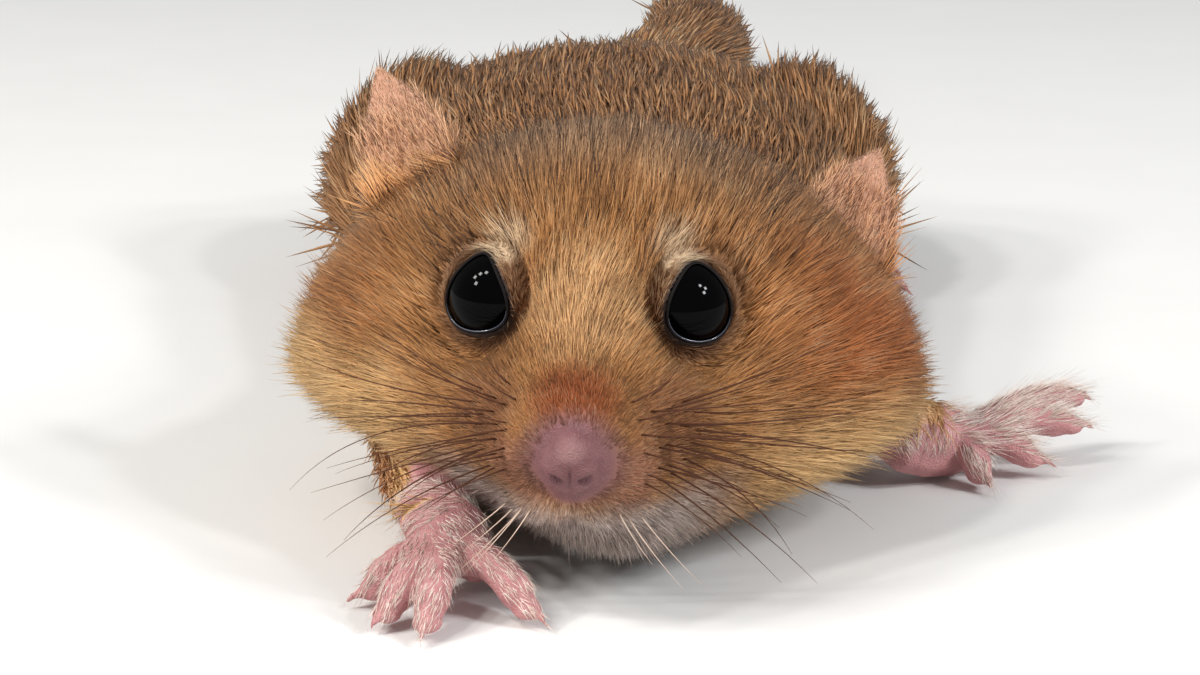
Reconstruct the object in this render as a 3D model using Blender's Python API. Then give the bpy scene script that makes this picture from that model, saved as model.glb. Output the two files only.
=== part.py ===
"""Hazel dormouse, life size, as a still museum model.

The animal lies low on its belly with its head just off the floor. Its right forepaw reaches forward under
the cheek, its left forepaw lies out to the side, and the bushy tail is laid on the floor behind it.
+X is the animal's left, the nose points along -Y, and Z = 0 is the floor.
Every size below is in millimetres. The finished meshes are scaled to metres.
"""

import math
import random

import bmesh
import bpy
from mathutils import Matrix, Vector

METRE = 0.001
GAP = 0.3
AROUND = 40

# The head's turn about the neck: nose down, nose to the animal's right, left side low.
HEAD_PITCH = math.radians(5.0)
HEAD_YAW = math.radians(-3.7)
HEAD_ROLL = math.radians(1.8)
NECK_PIVOT = Vector((0.0, 22.0, 9.0))
TURN_STARTS_Y = 29.0
TURN_FULL_Y = 18.5

# Where the one long body is parted.
NOSE_Y = -3.3
HEAD_END_Y = 19.6
NECK_END_Y = 25.4
RUMP_Y = 72.2

# The body's cross-sections, nose to rump: distance back from the chin, half width, top, bottom, height of
# the widest place, shift of the middle to the left, and how square the lower and the upper half are.
SECTIONS = (
    (-3.3, 1.35, 11.1, 8.7, 9.9, 0.0, 2.0, 2.0),
    (-2.5, 2.25, 11.8, 7.6, 9.6, 0.0, 2.0, 2.0),
    (-1.2, 3.05, 12.4, 6.2, 9.1, 0.0, 2.0, 2.0),
    (0.3, 4.00, 13.2, 4.1, 8.6, 0.1, 2.1, 2.0),
    (2.5, 5.70, 14.5, 3.2, 8.1, 0.2, 2.2, 2.0),
    (5.0, 8.20, 16.0, 3.4, 7.8, 0.3, 2.4, 1.95),
    (8.5, 11.80, 17.9, 3.7, 7.7, 0.5, 2.6, 1.8),
    (12.0, 13.70, 18.5, 3.8, 7.6, 0.4, 2.7, 1.72),
    (15.5, 13.50, 17.5, 3.6, 7.6, 0.4, 2.7, 1.75),
    (19.5, 12.10, 15.5, 3.1, 7.5, 0.3, 2.6, 1.85),
    (23.0, 11.30, 14.3, 2.0, 7.2, 0.1, 2.6, 1.95),
    (27.0, 11.30, 13.6, 0.8, 6.8, 0.0, 2.7, 2.0),
    (32.0, 12.00, 13.7, -0.1, 6.6, 0.0, 2.8, 2.0),
    (42.0, 13.50, 14.2, -0.5, 6.5, 0.0, 2.8, 2.0),
    (50.0, 14.30, 14.3, -0.5, 6.5, 0.0, 2.8, 2.0),
    (58.0, 13.20, 13.5, -0.3, 6.3, 0.0, 2.6, 2.0),
    (64.0, 10.60, 11.7, 0.1, 5.8, 0.0, 2.3, 2.0),
    (68.5, 7.20, 9.9, 0.8, 5.4, 0.0, 2.1, 2.0),
    (71.0, 4.80, 8.2, 1.6, 5.0, 0.0, 2.0, 2.0),
    (72.2, 3.10, 7.1, 2.4, 4.8, 0.0, 2.0, 2.0),
)

# The chin rests a little to the left of the nose: how far at its lowest, and where along the head it fades.
CHIN_SHIFT = 1.5
CHIN_SHIFT_FULL_Y = 6.0
CHIN_SHIFT_ENDS_Y = 15.0

# Soft swellings on the head, given for the left side and mirrored: middle, reach and height.
SWELLINGS = (
    ((2.3, -1.2, 8.3), (1.7, 1.9, 1.6), 0.45),
    ((4.6, 6.0, 16.3), (2.2, 2.4, 1.5), 0.45),
    ((6.8, 2.8, 10.6), (2.6, 3.0, 2.2), 0.35),
)

# The eyes: where the ball is centred, which way it looks, and its lids.
EYE_CENTRE = Vector((3.6, 5.7, 12.95))
EYE_AXIS = Vector((0.45, -0.80, 0.40)).normalized()
EYE_RADIUS = 2.1
LID_THICKNESS = 0.36
LID_HALF_WIDTH = 1.68
LID_HALF_HEIGHT = 1.62
LID_FLARE = 1.9
LID_FLARE_DEPTH = 2.2
LID_PINCH = 0.24
LID_SIDES = 14
SOCKET_DEPTH = 1.0
SOCKET_SCALE = 0.92

# The nose pad, nostrils and mouth.
NOSE_CENTRE = Vector((0.0, -3.05, 9.35))
NOSE_RADII = Vector((1.3, 1.05, 1.4))
NOSTRIL_CENTRE = Vector((0.64, -3.95, 8.8))
NOSTRIL_RADII = Vector((0.42, 0.75, 0.34))
CLEFT_HALF_WIDTH = 0.16
CLEFT_LINE = ((0, -4.5, 9.6), (0, -4.1, 8.6), (0, -3.1, 7.6))
CLEFT_DEPTH_SHARE = 2.0
MOUTH_POINTS = ((0.0, -2.55, 7.45), (0.9, -2.25, 6.95), (2.0, -0.95, 6.45), (3.3, 1.1, 6.3))
MOUTH_HALF_HEIGHT = 0.2
MOUTH_FORWARD = 0.35
MOUTH_CORNER_SHARE = 0.6
LIP_RADIUS = 0.42
LIP_LIFT = 0.34
LIP_FLATNESS = 0.8

# The ears: length and half width of the pinna, its cup and its thickness.
EAR_LENGTH = 5.9
EAR_HALF_WIDTH = 2.6
EAR_CUP = 1.2
EAR_THICKNESS = 0.6
EAR_ROWS = 7
EAR_COLUMNS = 6
EAR_TAPER = (1.9, 0.85)
EAR_BASE_SHARE = 0.8
EAR_TIP_HALF_WIDTH = 0.3
EAR_ROOTED_SHARE = 0.12
EAR_LEAN_BACK = 0.9
RIGHT_EAR_ROOT = Vector((-7.4, 12.8, 14.7))
RIGHT_EAR_UP = Vector((-0.48, 0.40, 0.78)).normalized()
RIGHT_EAR_FACE = Vector((-0.34, -0.88, 0.34)).normalized()
LEFT_EAR_ROOT = Vector((9.7, 13.0, 12.4))
LEFT_EAR_UP = Vector((0.40, 0.60, 0.69)).normalized()
LEFT_EAR_FACE = Vector((0.36, -0.84, 0.40)).normalized()

# The forelegs, from under the shoulder to the wrist, with their radii.
RIGHT_FORELEG = ((-8.2, 27.8, 4.2), (-8.9, 18.0, 2.6), (-8.3, 10.5, 2.2), (-7.4, 5.4, 2.7))
RIGHT_FORELEG_RADII = (3.2, 2.3, 1.75, 1.35)
LEFT_FORELEG = ((9.2, 28.6, 4.4), (10.2, 22.4, 3.2), (12.4, 17.2, 2.5))
LEFT_FORELEG_RADII = (3.2, 2.4, 1.5)

# The forepaws: palm, and the tips of four fingers.
RIGHT_PALM = Vector((-6.3, 1.9, 2.2))
RIGHT_FINGERTIPS = ((-9.7, 0.7, 0.6), (-8.9, -1.9, 0.6), (-7.2, -3.0, 0.6), (-3.2, -1.5, 0.6))
LEFT_PALM = Vector((15.4, 17.7, 1.6))
LEFT_FINGERTIPS = ((21.4, 21.2, 2.7), (21.1, 19.4, 1.9), (19.0, 17.2, 0.9), (16.4, 15.4, 0.6))
PALM_RADIUS = 1.75
PALM_FLATNESS = 0.72
FINGER_RADII = (0.95, 0.8, 0.7, 0.78, 0.4)
CLAW_LENGTH = 1.0
CLAW_RADIUS = 0.26
CLAW_TIP_RADIUS = 0.07
CLAW_DROP = 0.35
CLAW_LOWEST_Z = 0.12
CLAW_ROOTED = 0.5
KNUCKLE_SHARE = 0.55
KNUCKLE_RISE = 0.55
DIGIT_START_SHARE = 0.12
WRIST_RADII = (1.35, 1.6)
WRIST_RUN = 0.9
PALM_FRONT_SHARE = 0.8
PALM_END_RADIUS = 0.5

# The hind legs: haunch, heel and the tips of five toes, given for the left side and mirrored.
HAUNCH_CENTRE = Vector((10.3, 54.0, 5.9))
HAUNCH_RADII = Vector((6.2, 11.0, 7.0))
HEEL = Vector((12.9, 63.0, 1.7))
SOLE_END = Vector((13.8, 53.6, 1.3))
SOLE_RADII = (1.5, 1.75, 1.9, 1.7)
TOE_TIPS = ((11.9, 50.0, 0.6), (12.9, 48.2, 0.6), (14.1, 47.5, 0.6), (15.3, 48.3, 0.6), (16.3, 50.6, 0.6))
TOE_RADII = (0.8, 0.68, 0.6, 0.66, 0.35)
TOE_ROOM_RADII = (1.85, 2.15, 2.5, 3.3, 3.4)
TOE_ROOM_FLATNESS = 0.85

# The tail: the line of its core, and the core's and the coat's radius from root to tip.
TAIL_LINE = (
    (0.0, 69.4, 5.0),
    (0.5, 77.0, 4.6),
    (2.6, 88.0, 4.4),
    (5.2, 99.0, 4.4),
    (6.6, 109.5, 4.4),
    (5.6, 120.5, 4.4),
)
TAIL_PIECES = 4
TAIL_STEPS = 48
TAIL_CORE_RADII = (2.0, 2.05, 2.05, 1.9, 1.6, 1.1)
TAIL_COAT_RADII = (3.6, 4.3, 4.7, 4.7, 4.4, 3.6)
TAIL_SIDES = 12

# The tail's locks: rows along it, locks in a row, and one lock's length, width and thickness.
LOCK_ROWS = 8
LOCKS_IN_ROW = 7
LOCK_LENGTH = 11.5
LOCK_WIDTH = 3.9
LOCK_THICKNESS = 0.9
LOCK_SEED = 2
TIP_LOCKS = 6
TIP_LOCK_REACH = 1.3
TIP_LOCK_ROOTED = 2.0
SLEEVE_RADIUS = 9.0

# A lock's stations, root to tip: share of its length, of its reach outward and of its width.
LOCK_STATIONS = ((0.0, 0.0, 0.7), (0.36, 0.72, 1.0), (0.74, 0.98, 0.72), (1.0, 1.0, 0.1))
LOCK_EDGE_SHARE = 0.35
LOCK_ROOT_SHARE = 0.45


def clear_scene():
    for item in list(bpy.data.objects):
        bpy.data.objects.remove(item, do_unlink=True)


def smooth_through(places, values, at):
    """A cubic through the values that stays level at each turning point, so nothing bulges between."""
    last = len(places) - 1
    if at <= places[0]:
        return values[0]
    if at >= places[last]:
        return values[last]
    steps = [places[i + 1] - places[i] for i in range(last)]
    slopes = [(values[i + 1] - values[i]) / steps[i] for i in range(last)]
    tangents = [slopes[0]]
    for i in range(1, last):
        if slopes[i - 1] * slopes[i] <= 0:
            tangents.append(0.0)
        else:
            tangents.append(2 * slopes[i - 1] * slopes[i] / (slopes[i - 1] + slopes[i]))
    tangents.append(slopes[-1])
    i = max(k for k in range(last) if places[k] <= at)
    t = (at - places[i]) / steps[i]
    level = (2 * t**3 - 3 * t**2 + 1) * values[i] + (3 * t**2 - 2 * t**3) * values[i + 1]
    lean = (t**3 - 2 * t**2 + t) * tangents[i] + (t**3 - t**2) * tangents[i + 1]
    return level + lean * steps[i]


def section_at(y):
    places = [row[0] for row in SECTIONS]
    return [smooth_through(places, [row[k] for row in SECTIONS], y) for k in range(1, 8)]


def turned_head(point):
    """Turns a point of the straight body by the head's pitch, yaw and roll, which fade out over the neck."""
    share = (TURN_STARTS_Y - point.y) / (TURN_STARTS_Y - TURN_FULL_Y)
    share = min(max(share, 0.0), 1.0)
    share = share * share * (3 - 2 * share)
    turn = Matrix.Rotation(HEAD_YAW * share, 3, "Z")
    turn = turn @ Matrix.Rotation(HEAD_PITCH * share, 3, "X")
    turn = turn @ Matrix.Rotation(HEAD_ROLL * share, 3, "Y")
    return NECK_PIVOT + turn @ (point - NECK_PIVOT)


def swelling_at(point):
    height = 0.0
    for middle, reach, rise in SWELLINGS:
        for side in (1, -1):
            away = (
                ((point.x - side * middle[0]) / reach[0]) ** 2
                + ((point.y - middle[1]) / reach[1]) ** 2
                + ((point.z - middle[2]) / reach[2]) ** 2
            )
            height += rise * math.exp(-away)
    return height


def chin_shift_at(y):
    share = (CHIN_SHIFT_ENDS_Y - y) / (CHIN_SHIFT_ENDS_Y - CHIN_SHIFT_FULL_Y)
    return CHIN_SHIFT * min(max(share, 0.0), 1.0)


def body_ring(y):
    """One cross-section of the straight body, as points in order round it."""
    half_width, top, bottom, widest, shift, square_below, square_above = section_at(y)
    ring = []
    for k in range(AROUND):
        angle = 2 * math.pi * k / AROUND
        across, up = math.cos(angle), math.sin(angle)
        power = 2 / (square_above if up >= 0 else square_below)
        height = top - widest if up >= 0 else widest - bottom
        x = half_width * math.copysign(abs(across) ** power, across)
        z = height * math.copysign(abs(up) ** power, up)
        point = Vector((x + shift, y, z + widest))
        point += swelling_at(point) * Vector((x, 0, z)).normalized()
        point.x += chin_shift_at(y) * min(z / height, 0.0) ** 2
        ring.append(point)
    return ring


def mesh_object(name, points, faces):
    mesh = bpy.data.meshes.new(name)
    mesh.from_pydata([tuple(point) for point in points], [], faces)
    made = bmesh.new()
    made.from_mesh(mesh)
    bmesh.ops.recalc_face_normals(made, faces=made.faces)
    bmesh.ops.triangulate(made, faces=made.faces)
    made.to_mesh(mesh)
    made.free()
    item = bpy.data.objects.new(name, mesh)
    bpy.context.scene.collection.objects.link(item)
    return item


def lofted(name, rings):
    """A closed body through rings of the same number of points, with flat ends."""
    sides = len(rings[0])
    points = [point for ring in rings for point in ring]
    faces = []
    for i in range(len(rings) - 1):
        for k in range(sides):
            after = (k + 1) % sides
            faces.append((i * sides + k, i * sides + after, (i + 1) * sides + after, (i + 1) * sides + k))
    faces.append(tuple(range(sides)))
    faces.append(tuple(range((len(rings) - 1) * sides, len(rings) * sides)))
    return mesh_object(name, points, faces)


def body_piece(name, start, end, count, crowding=1.0):
    """The straight body between two cuts. Crowding above 1 sets the rings closer near the start."""
    places = [start + (end - start) * (i / count) ** crowding for i in range(count + 1)]
    return lofted(name, [body_ring(y) for y in places])


def ellipsoid(name, centre, radii, turn=None, around=14, along=9):
    rings = []
    for i in range(along + 1):
        angle = math.pi * (0.04 + 0.92 * i / along)
        ring = []
        for k in range(around):
            round_angle = 2 * math.pi * k / around
            local = Vector((
                radii[0] * math.sin(angle) * math.cos(round_angle),
                radii[1] * math.cos(angle),
                radii[2] * math.sin(angle) * math.sin(round_angle),
            ))
            ring.append(Vector(centre) + (turn @ local if turn else local))
        rings.append(ring)
    return lofted(name, rings)


def curve_points(controls, count):
    """Points of a smooth curve that passes through the controls."""
    controls = [Vector(point) for point in controls]
    controls = [2 * controls[0] - controls[1]] + controls + [2 * controls[-1] - controls[-2]]
    spans = len(controls) - 3
    points = []
    for step in range(count + 1):
        place = min(step * spans / count, spans - 1e-9)
        i = int(place)
        t = place - i
        a, b, c, d = controls[i : i + 4]
        square = (2 * a - 5 * b + 4 * c - d) * t**2
        cube = (3 * b - a - 3 * c + d) * t**3
        points.append(0.5 * (2 * b + (c - a) * t + square + cube))
    return points


def frames_along(points):
    """At each point the direction of travel, and two directions square to it that don't twist."""
    frames = []
    side = None
    for i, point in enumerate(points):
        ahead = (points[min(i + 1, len(points) - 1)] - points[max(i - 1, 0)]).normalized()
        if side is None:
            side = ahead.cross(Vector((0, 0, 1))).normalized()
        side = (side - side.dot(ahead) * ahead).normalized()
        frames.append((ahead, side, side.cross(ahead)))
    return frames


def tube(name, controls, radii, sides=10, count=8, flat=1.0):
    """A round limb along a smooth line. Flat below 1 makes it lower than it is wide."""
    points = curve_points(controls, count)
    places = [i / (len(radii) - 1) for i in range(len(radii))]
    rings = []
    for i, (point, (_, side, up)) in enumerate(zip(points, frames_along(points))):
        radius = smooth_through(places, radii, i / count)
        ring = []
        for k in range(sides):
            angle = 2 * math.pi * k / sides
            ring.append(point + radius * (math.cos(angle) * side + flat * math.sin(angle) * up))
        rings.append(ring)
    return lofted(name, rings)


def boolean(item, tools, operation, solver="EXACT"):
    """Joins the tools to the item or cuts it with them, then removes them."""
    group = bpy.data.collections.new("tools")
    bpy.context.scene.collection.children.link(group)
    for tool in tools:
        bpy.context.scene.collection.objects.unlink(tool)
        group.objects.link(tool)
    modifier = item.modifiers.new("join", "BOOLEAN")
    modifier.operation = operation
    modifier.solver = solver
    modifier.operand_type = "COLLECTION"
    modifier.collection = group
    shown = item.evaluated_get(bpy.context.evaluated_depsgraph_get())
    mesh = bpy.data.meshes.new_from_object(shown)
    item.modifiers.clear()
    item.data = mesh
    for tool in tools:
        bpy.data.objects.remove(tool, do_unlink=True)
    bpy.data.collections.remove(group)


def signed_volume(faces):
    total = 0.0
    for face in faces:
        a, b, c = (vert.co for vert in face.verts[:3])
        total += a.dot(b.cross(c)) / 6
    return total


def keep_largest(item):
    """Leaves only the largest closed surface of the item."""
    made = bmesh.new()
    made.from_mesh(item.data)
    bmesh.ops.triangulate(made, faces=made.faces)
    unseen = set(made.faces)
    bodies = []
    while unseen:
        body = [unseen.pop()]
        for face in body:
            for edge in face.edges:
                for other in edge.link_faces:
                    if other in unseen:
                        unseen.remove(other)
                        body.append(other)
        bodies.append(body)
    largest = max(bodies, key=lambda body: abs(signed_volume(body)))
    dropped = [face for body in bodies if body is not largest for face in body]
    bmesh.ops.delete(made, geom=dropped, context="FACES")
    loose = [vert for vert in made.verts if not vert.link_faces]
    bmesh.ops.delete(made, geom=loose, context="VERTS")
    made.to_mesh(item.data)
    made.free()


def grown_copy(item, by=GAP):
    """A copy whose surface stands off the item's by the gap, to cut a neighbour with."""
    copy = bpy.data.objects.new(item.name + "_cutter", item.data.copy())
    bpy.context.scene.collection.objects.link(copy)
    copy.hide_render = True
    copy.display_type = "WIRE"
    made = bmesh.new()
    made.from_mesh(copy.data)
    made.normal_update()
    for vert in made.verts:
        vert.co += vert.normal * by
    made.to_mesh(copy.data)
    made.free()
    return copy


def cut_by(item, neighbours):
    boolean(item, [grown_copy(neighbour) for neighbour in neighbours], "DIFFERENCE")
    keep_largest(item)


def turn_with_head(item):
    for vert in item.data.vertices:
        vert.co = turned_head(vert.co.copy())


def level_with_floor(item):
    """Flattens whatever would reach below the floor."""
    for vert in item.data.vertices:
        vert.co.z = max(vert.co.z, 0.0)


def facing(ahead, up):
    """A turn whose Y axis points ahead and whose Z axis is as near up as it can be."""
    ahead = ahead.normalized()
    side = ahead.cross(up).normalized()
    return Matrix((side, ahead, side.cross(ahead))).transposed()


def mirrored(point, side):
    return Vector((side * point[0], point[1], point[2]))


def lid_opening(side):
    """The eye's opening: a short flared plug, round below and pointed above."""
    centre = mirrored(EYE_CENTRE, side)
    axis = mirrored(EYE_AXIS, side)
    turn = facing(axis, Vector((0, 0, 1)))
    rings = []
    stations = (
        (SOCKET_DEPTH, SOCKET_SCALE),
        (EYE_RADIUS + GAP, 1.0),
        (EYE_RADIUS + LID_FLARE_DEPTH, LID_FLARE),
    )
    for depth, scale in stations:
        ring = []
        for k in range(LID_SIDES):
            angle = 2 * math.pi * k / LID_SIDES
            pinch = 1 - LID_PINCH * max(math.sin(angle), 0) ** 2
            x = LID_HALF_WIDTH * math.cos(angle) * pinch
            z = LID_HALF_HEIGHT * math.sin(angle)
            ring.append(centre + turn @ Vector((x * scale, depth, z * scale)))
        rings.append(ring)
    return lofted("lid_opening", rings)


def mouth_line(radius, lift, flat):
    """A thin run along the mouth from corner to corner, as a groove or as a lip."""
    half = [Vector(point) + Vector((0, 0, lift)) for point in MOUTH_POINTS]
    whole = [mirrored(point, -1) for point in reversed(half[1:])] + half
    corner = radius * MOUTH_CORNER_SHARE
    return tube("mouth", whole, (corner, radius, radius, radius, corner), 6, 14, flat)


def eye_shell(name, side, radius, around, along):
    turn = facing(mirrored(EYE_AXIS, side), Vector((0, 0, 1)))
    return ellipsoid(name, mirrored(EYE_CENTRE, side), [radius] * 3, turn, around, along)


def add_eyes(head):
    """Raises the lids, hollows the sockets behind them and opens them to the front."""
    lids = [eye_shell("lid", side, EYE_RADIUS + GAP + LID_THICKNESS, 16, 10) for side in (1, -1)]
    boolean(head, lids, "UNION")
    sockets = [eye_shell("socket", side, EYE_RADIUS + GAP, 14, 9) for side in (1, -1)]
    boolean(head, sockets, "DIFFERENCE")
    boolean(head, [lid_opening(side) for side in (1, -1)], "DIFFERENCE")


def add_nose_and_mouth(head):
    """Adds the nose pad and the lips, then sinks the nostrils, the cleft between them and the mouth."""
    pad = ellipsoid("nose_pad", NOSE_CENTRE, NOSE_RADII, None, 14, 8)
    upper_lip = mouth_line(LIP_RADIUS, LIP_LIFT, LIP_FLATNESS)
    lower_lip = mouth_line(LIP_RADIUS, -LIP_LIFT, LIP_FLATNESS)
    boolean(head, [pad, upper_lip, lower_lip], "UNION")
    tools = []
    for side in (1, -1):
        tools.append(ellipsoid("nostril", mirrored(NOSTRIL_CENTRE, side), NOSTRIL_RADII, None, 10, 6))
    tools.append(tube("cleft", CLEFT_LINE, [CLEFT_HALF_WIDTH] * 2, 8, 5, CLEFT_DEPTH_SHARE))
    groove = mouth_line(MOUTH_HALF_HEIGHT, 0.0, 1.0)
    for vert in groove.data.vertices:
        vert.co.y -= MOUTH_FORWARD
    tools.append(groove)
    boolean(head, tools, "DIFFERENCE")


def head_and_body():
    head = body_piece("head", NOSE_Y, HEAD_END_Y, 19, 1.2)
    neck = body_piece("neck", HEAD_END_Y + GAP, NECK_END_Y, 3)
    torso = body_piece("torso", NECK_END_Y + GAP, RUMP_Y, 16)
    plain_head = head.copy()
    plain_head.data = head.data.copy()
    bpy.context.scene.collection.objects.link(plain_head)
    add_eyes(head)
    add_nose_and_mouth(head)
    keep_largest(head)
    for item in (head, neck, torso, plain_head):
        turn_with_head(item)
        level_with_floor(item)
    return head, neck, torso, plain_head


def eyeballs():
    for side, name in ((1, "eye_left"), (-1, "eye_right")):
        turn_with_head(eye_shell(name, side, EYE_RADIUS, 14, 9))


def ear(name, root, up, face, head):
    """A cupped pinna: its edges come forward, its tip leans back, and its root meets the head."""
    side = up.cross(face).normalized()
    face = side.cross(up).normalized()
    power, softness = EAR_TAPER
    sheets = []
    for depth in (0.0, EAR_THICKNESS):
        sheet = []
        for i in range(EAR_ROWS + 1):
            along = i / EAR_ROWS
            width = EAR_HALF_WIDTH * (1 - along**power) ** softness
            width *= EAR_BASE_SHARE + (1 - EAR_BASE_SHARE) * min(along * 3, 1)
            width = max(width, EAR_TIP_HALF_WIDTH)
            height = EAR_LENGTH * (along * (1 + EAR_ROOTED_SHARE) - EAR_ROOTED_SHARE)
            for j in range(EAR_COLUMNS + 1):
                across = 2 * j / EAR_COLUMNS - 1
                forward = EAR_CUP * across**2 * (1 - 0.5 * along) - EAR_LEAN_BACK * along**2 - depth
                sheet.append(root + up * height + side * (width * across) + face * forward)
        sheets.append(sheet)
    count = len(sheets[0])
    wide = EAR_COLUMNS + 1
    faces = []
    for i in range(EAR_ROWS):
        for j in range(EAR_COLUMNS):
            a = i * wide + j
            b, c, d = a + 1, a + wide + 1, a + wide
            faces += [(a, b, c), (a, c, d)]
            faces += [(count + a, count + c, count + b), (count + a, count + d, count + c)]
    border = [j for j in range(wide)]
    border += [i * wide + EAR_COLUMNS for i in range(1, EAR_ROWS + 1)]
    border += [EAR_ROWS * wide + j for j in range(EAR_COLUMNS - 1, -1, -1)]
    border += [i * wide for i in range(EAR_ROWS - 1, 0, -1)]
    for i, a in enumerate(border):
        b = border[(i + 1) % len(border)]
        faces.append((a, b, count + b, count + a))
    item = mesh_object(name, sheets[0] + sheets[1], faces)
    turn_with_head(item)
    cut_by(item, [head])
    return item


def claw(tip, ahead):
    end = tip + ahead * CLAW_LENGTH + Vector((0, 0, -CLAW_DROP))
    end.z = max(end.z, CLAW_LOWEST_Z)
    middle = tip + ahead * CLAW_LENGTH / 2
    start = tip - ahead * CLAW_ROOTED
    return tube("claw", (start, middle, end), (CLAW_RADIUS, CLAW_RADIUS * 0.8, CLAW_TIP_RADIUS), 4, 2)


def digits(root, tips, radii):
    """Fingers or toes that leave the root, arch and come down on their pads, each with a claw."""
    made = []
    for tip in tips:
        tip = Vector(tip)
        away = tip - root
        knuckle = root + away * KNUCKLE_SHARE + Vector((0, 0, KNUCKLE_RISE))
        start = root + away * DIGIT_START_SHARE
        made.append(tube("digit", (start, knuckle, tip), radii, 6, 5))
        made.append(claw(tip, Vector((away.x, away.y, 0)).normalized()))
    return made


def foot(name, start_points, start_radii, root, tips, radii, neighbours):
    item = tube(name, start_points, start_radii, 10, 6, PALM_FLATNESS)
    pieces = digits(root, tips, radii)
    for piece in [item] + pieces:
        level_with_floor(piece)
    boolean(item, pieces, "UNION")
    keep_largest(item)
    cut_by(item, neighbours)


def foreleg(name, line, radii, neighbours):
    item = tube(name, line, radii, 10, 8)
    level_with_floor(item)
    cut_by(item, neighbours)
    return item


def forepaw(name, line, palm, tips, neighbours):
    wrist = Vector(line[-1])
    ahead = (wrist - curve_points(line, 9)[-2]).normalized()
    start = wrist + ahead * GAP
    front = PALM_RADIUS * PALM_FRONT_SHARE
    beyond = palm + (palm - start).normalized() * front
    points = (start, start + ahead * WRIST_RUN, palm, beyond)
    radii = WRIST_RADII + (PALM_RADIUS, front, PALM_END_RADIUS)
    foot(name, points, radii, palm, tips, FINGER_RADII, neighbours)


def hind_leg(side, name, torso):
    heel = mirrored(HEEL, side)
    sole_end = mirrored(SOLE_END, side)
    tips = [mirrored(tip, side) for tip in TOE_TIPS]
    line = (heel, heel.lerp(sole_end, 0.5), sole_end)
    foot("hindfoot_" + name, line, SOLE_RADII, sole_end, tips, TOE_RADII, [torso])
    haunch = ellipsoid("thigh_" + name, mirrored(HAUNCH_CENTRE, side), HAUNCH_RADII, None, 16, 9)
    level_with_floor(haunch)
    toes_end = mirrored(TOE_TIPS[2], side)
    line += (sole_end.lerp(toes_end, 0.5), toes_end)
    sole_room = tube("sole_room", line, TOE_ROOM_RADII, 8, 5, TOE_ROOM_FLATNESS)
    boolean(haunch, [grown_copy(torso), sole_room], "DIFFERENCE")
    keep_largest(haunch)


def lock(name, root, ahead, outward, length, reach, width):
    """One flat tapered lock: it leaves the core, then bends to lie along the tail at its full reach."""
    side = ahead.cross(outward).normalized()
    rings = []
    for along, rise, share in LOCK_STATIONS:
        centre = root + ahead * (length * along) + outward * (reach * rise)
        half = width * share / 2
        thick = LOCK_THICKNESS * (LOCK_EDGE_SHARE + (1 - LOCK_EDGE_SHARE) * share)
        rings.append([centre - side * half, centre + side * half, centre + outward * thick])
    return lofted(name, rings)


def tail_locks(points, frames, first, last):
    """The locks whose roots lie between two steps of the tail's line."""
    draw = random.Random(LOCK_SEED)
    core_places = [i / (len(TAIL_CORE_RADII) - 1) for i in range(len(TAIL_CORE_RADII))]
    made = []
    for row in range(LOCK_ROWS):
        step = int((row + 0.5) * TAIL_STEPS / LOCK_ROWS)
        ahead, side, up = frames[step]
        core = smooth_through(core_places, TAIL_CORE_RADII, step / TAIL_STEPS)
        coat = smooth_through(core_places, TAIL_COAT_RADII, step / TAIL_STEPS)
        for k in range(LOCKS_IN_ROW):
            angle = 2 * math.pi * (k + 0.5 * (row % 2) + draw.uniform(-0.12, 0.12)) / LOCKS_IN_ROW
            length = LOCK_LENGTH * draw.uniform(0.88, 1.12)
            full = coat * draw.uniform(0.94, 1.04) - LOCK_THICKNESS
            width = LOCK_WIDTH * draw.uniform(0.9, 1.1)
            if not first <= step < last:
                continue
            outward = math.cos(angle) * side + math.sin(angle) * up
            depth = core * LOCK_ROOT_SHARE
            root = points[step] + outward * depth
            made.append(lock("lock", root, ahead, outward, length, full - depth, width))
    return made


def tip_locks(points, frames):
    """The pencil of longer locks that closes the tail's end."""
    ahead, side, up = frames[-1]
    root = points[-1] - ahead * TIP_LOCK_ROOTED
    made = []
    for k in range(TIP_LOCKS):
        angle = 2 * math.pi * k / TIP_LOCKS
        outward = math.cos(angle) * side + math.sin(angle) * up
        made.append(lock("lock", root, ahead, outward, LOCK_LENGTH * 1.1, TIP_LOCK_REACH, LOCK_WIDTH * 0.8))
    return made


def rings_along(points, frames, steps, radius_at, sides):
    rings = []
    for i in steps:
        _, side, up = frames[i]
        angles = [2 * math.pi * k / sides for k in range(sides)]
        around = [math.cos(angle) * side + math.sin(angle) * up for angle in angles]
        rings.append([points[i] + radius_at(i) * outward for outward in around])
    return rings


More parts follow.
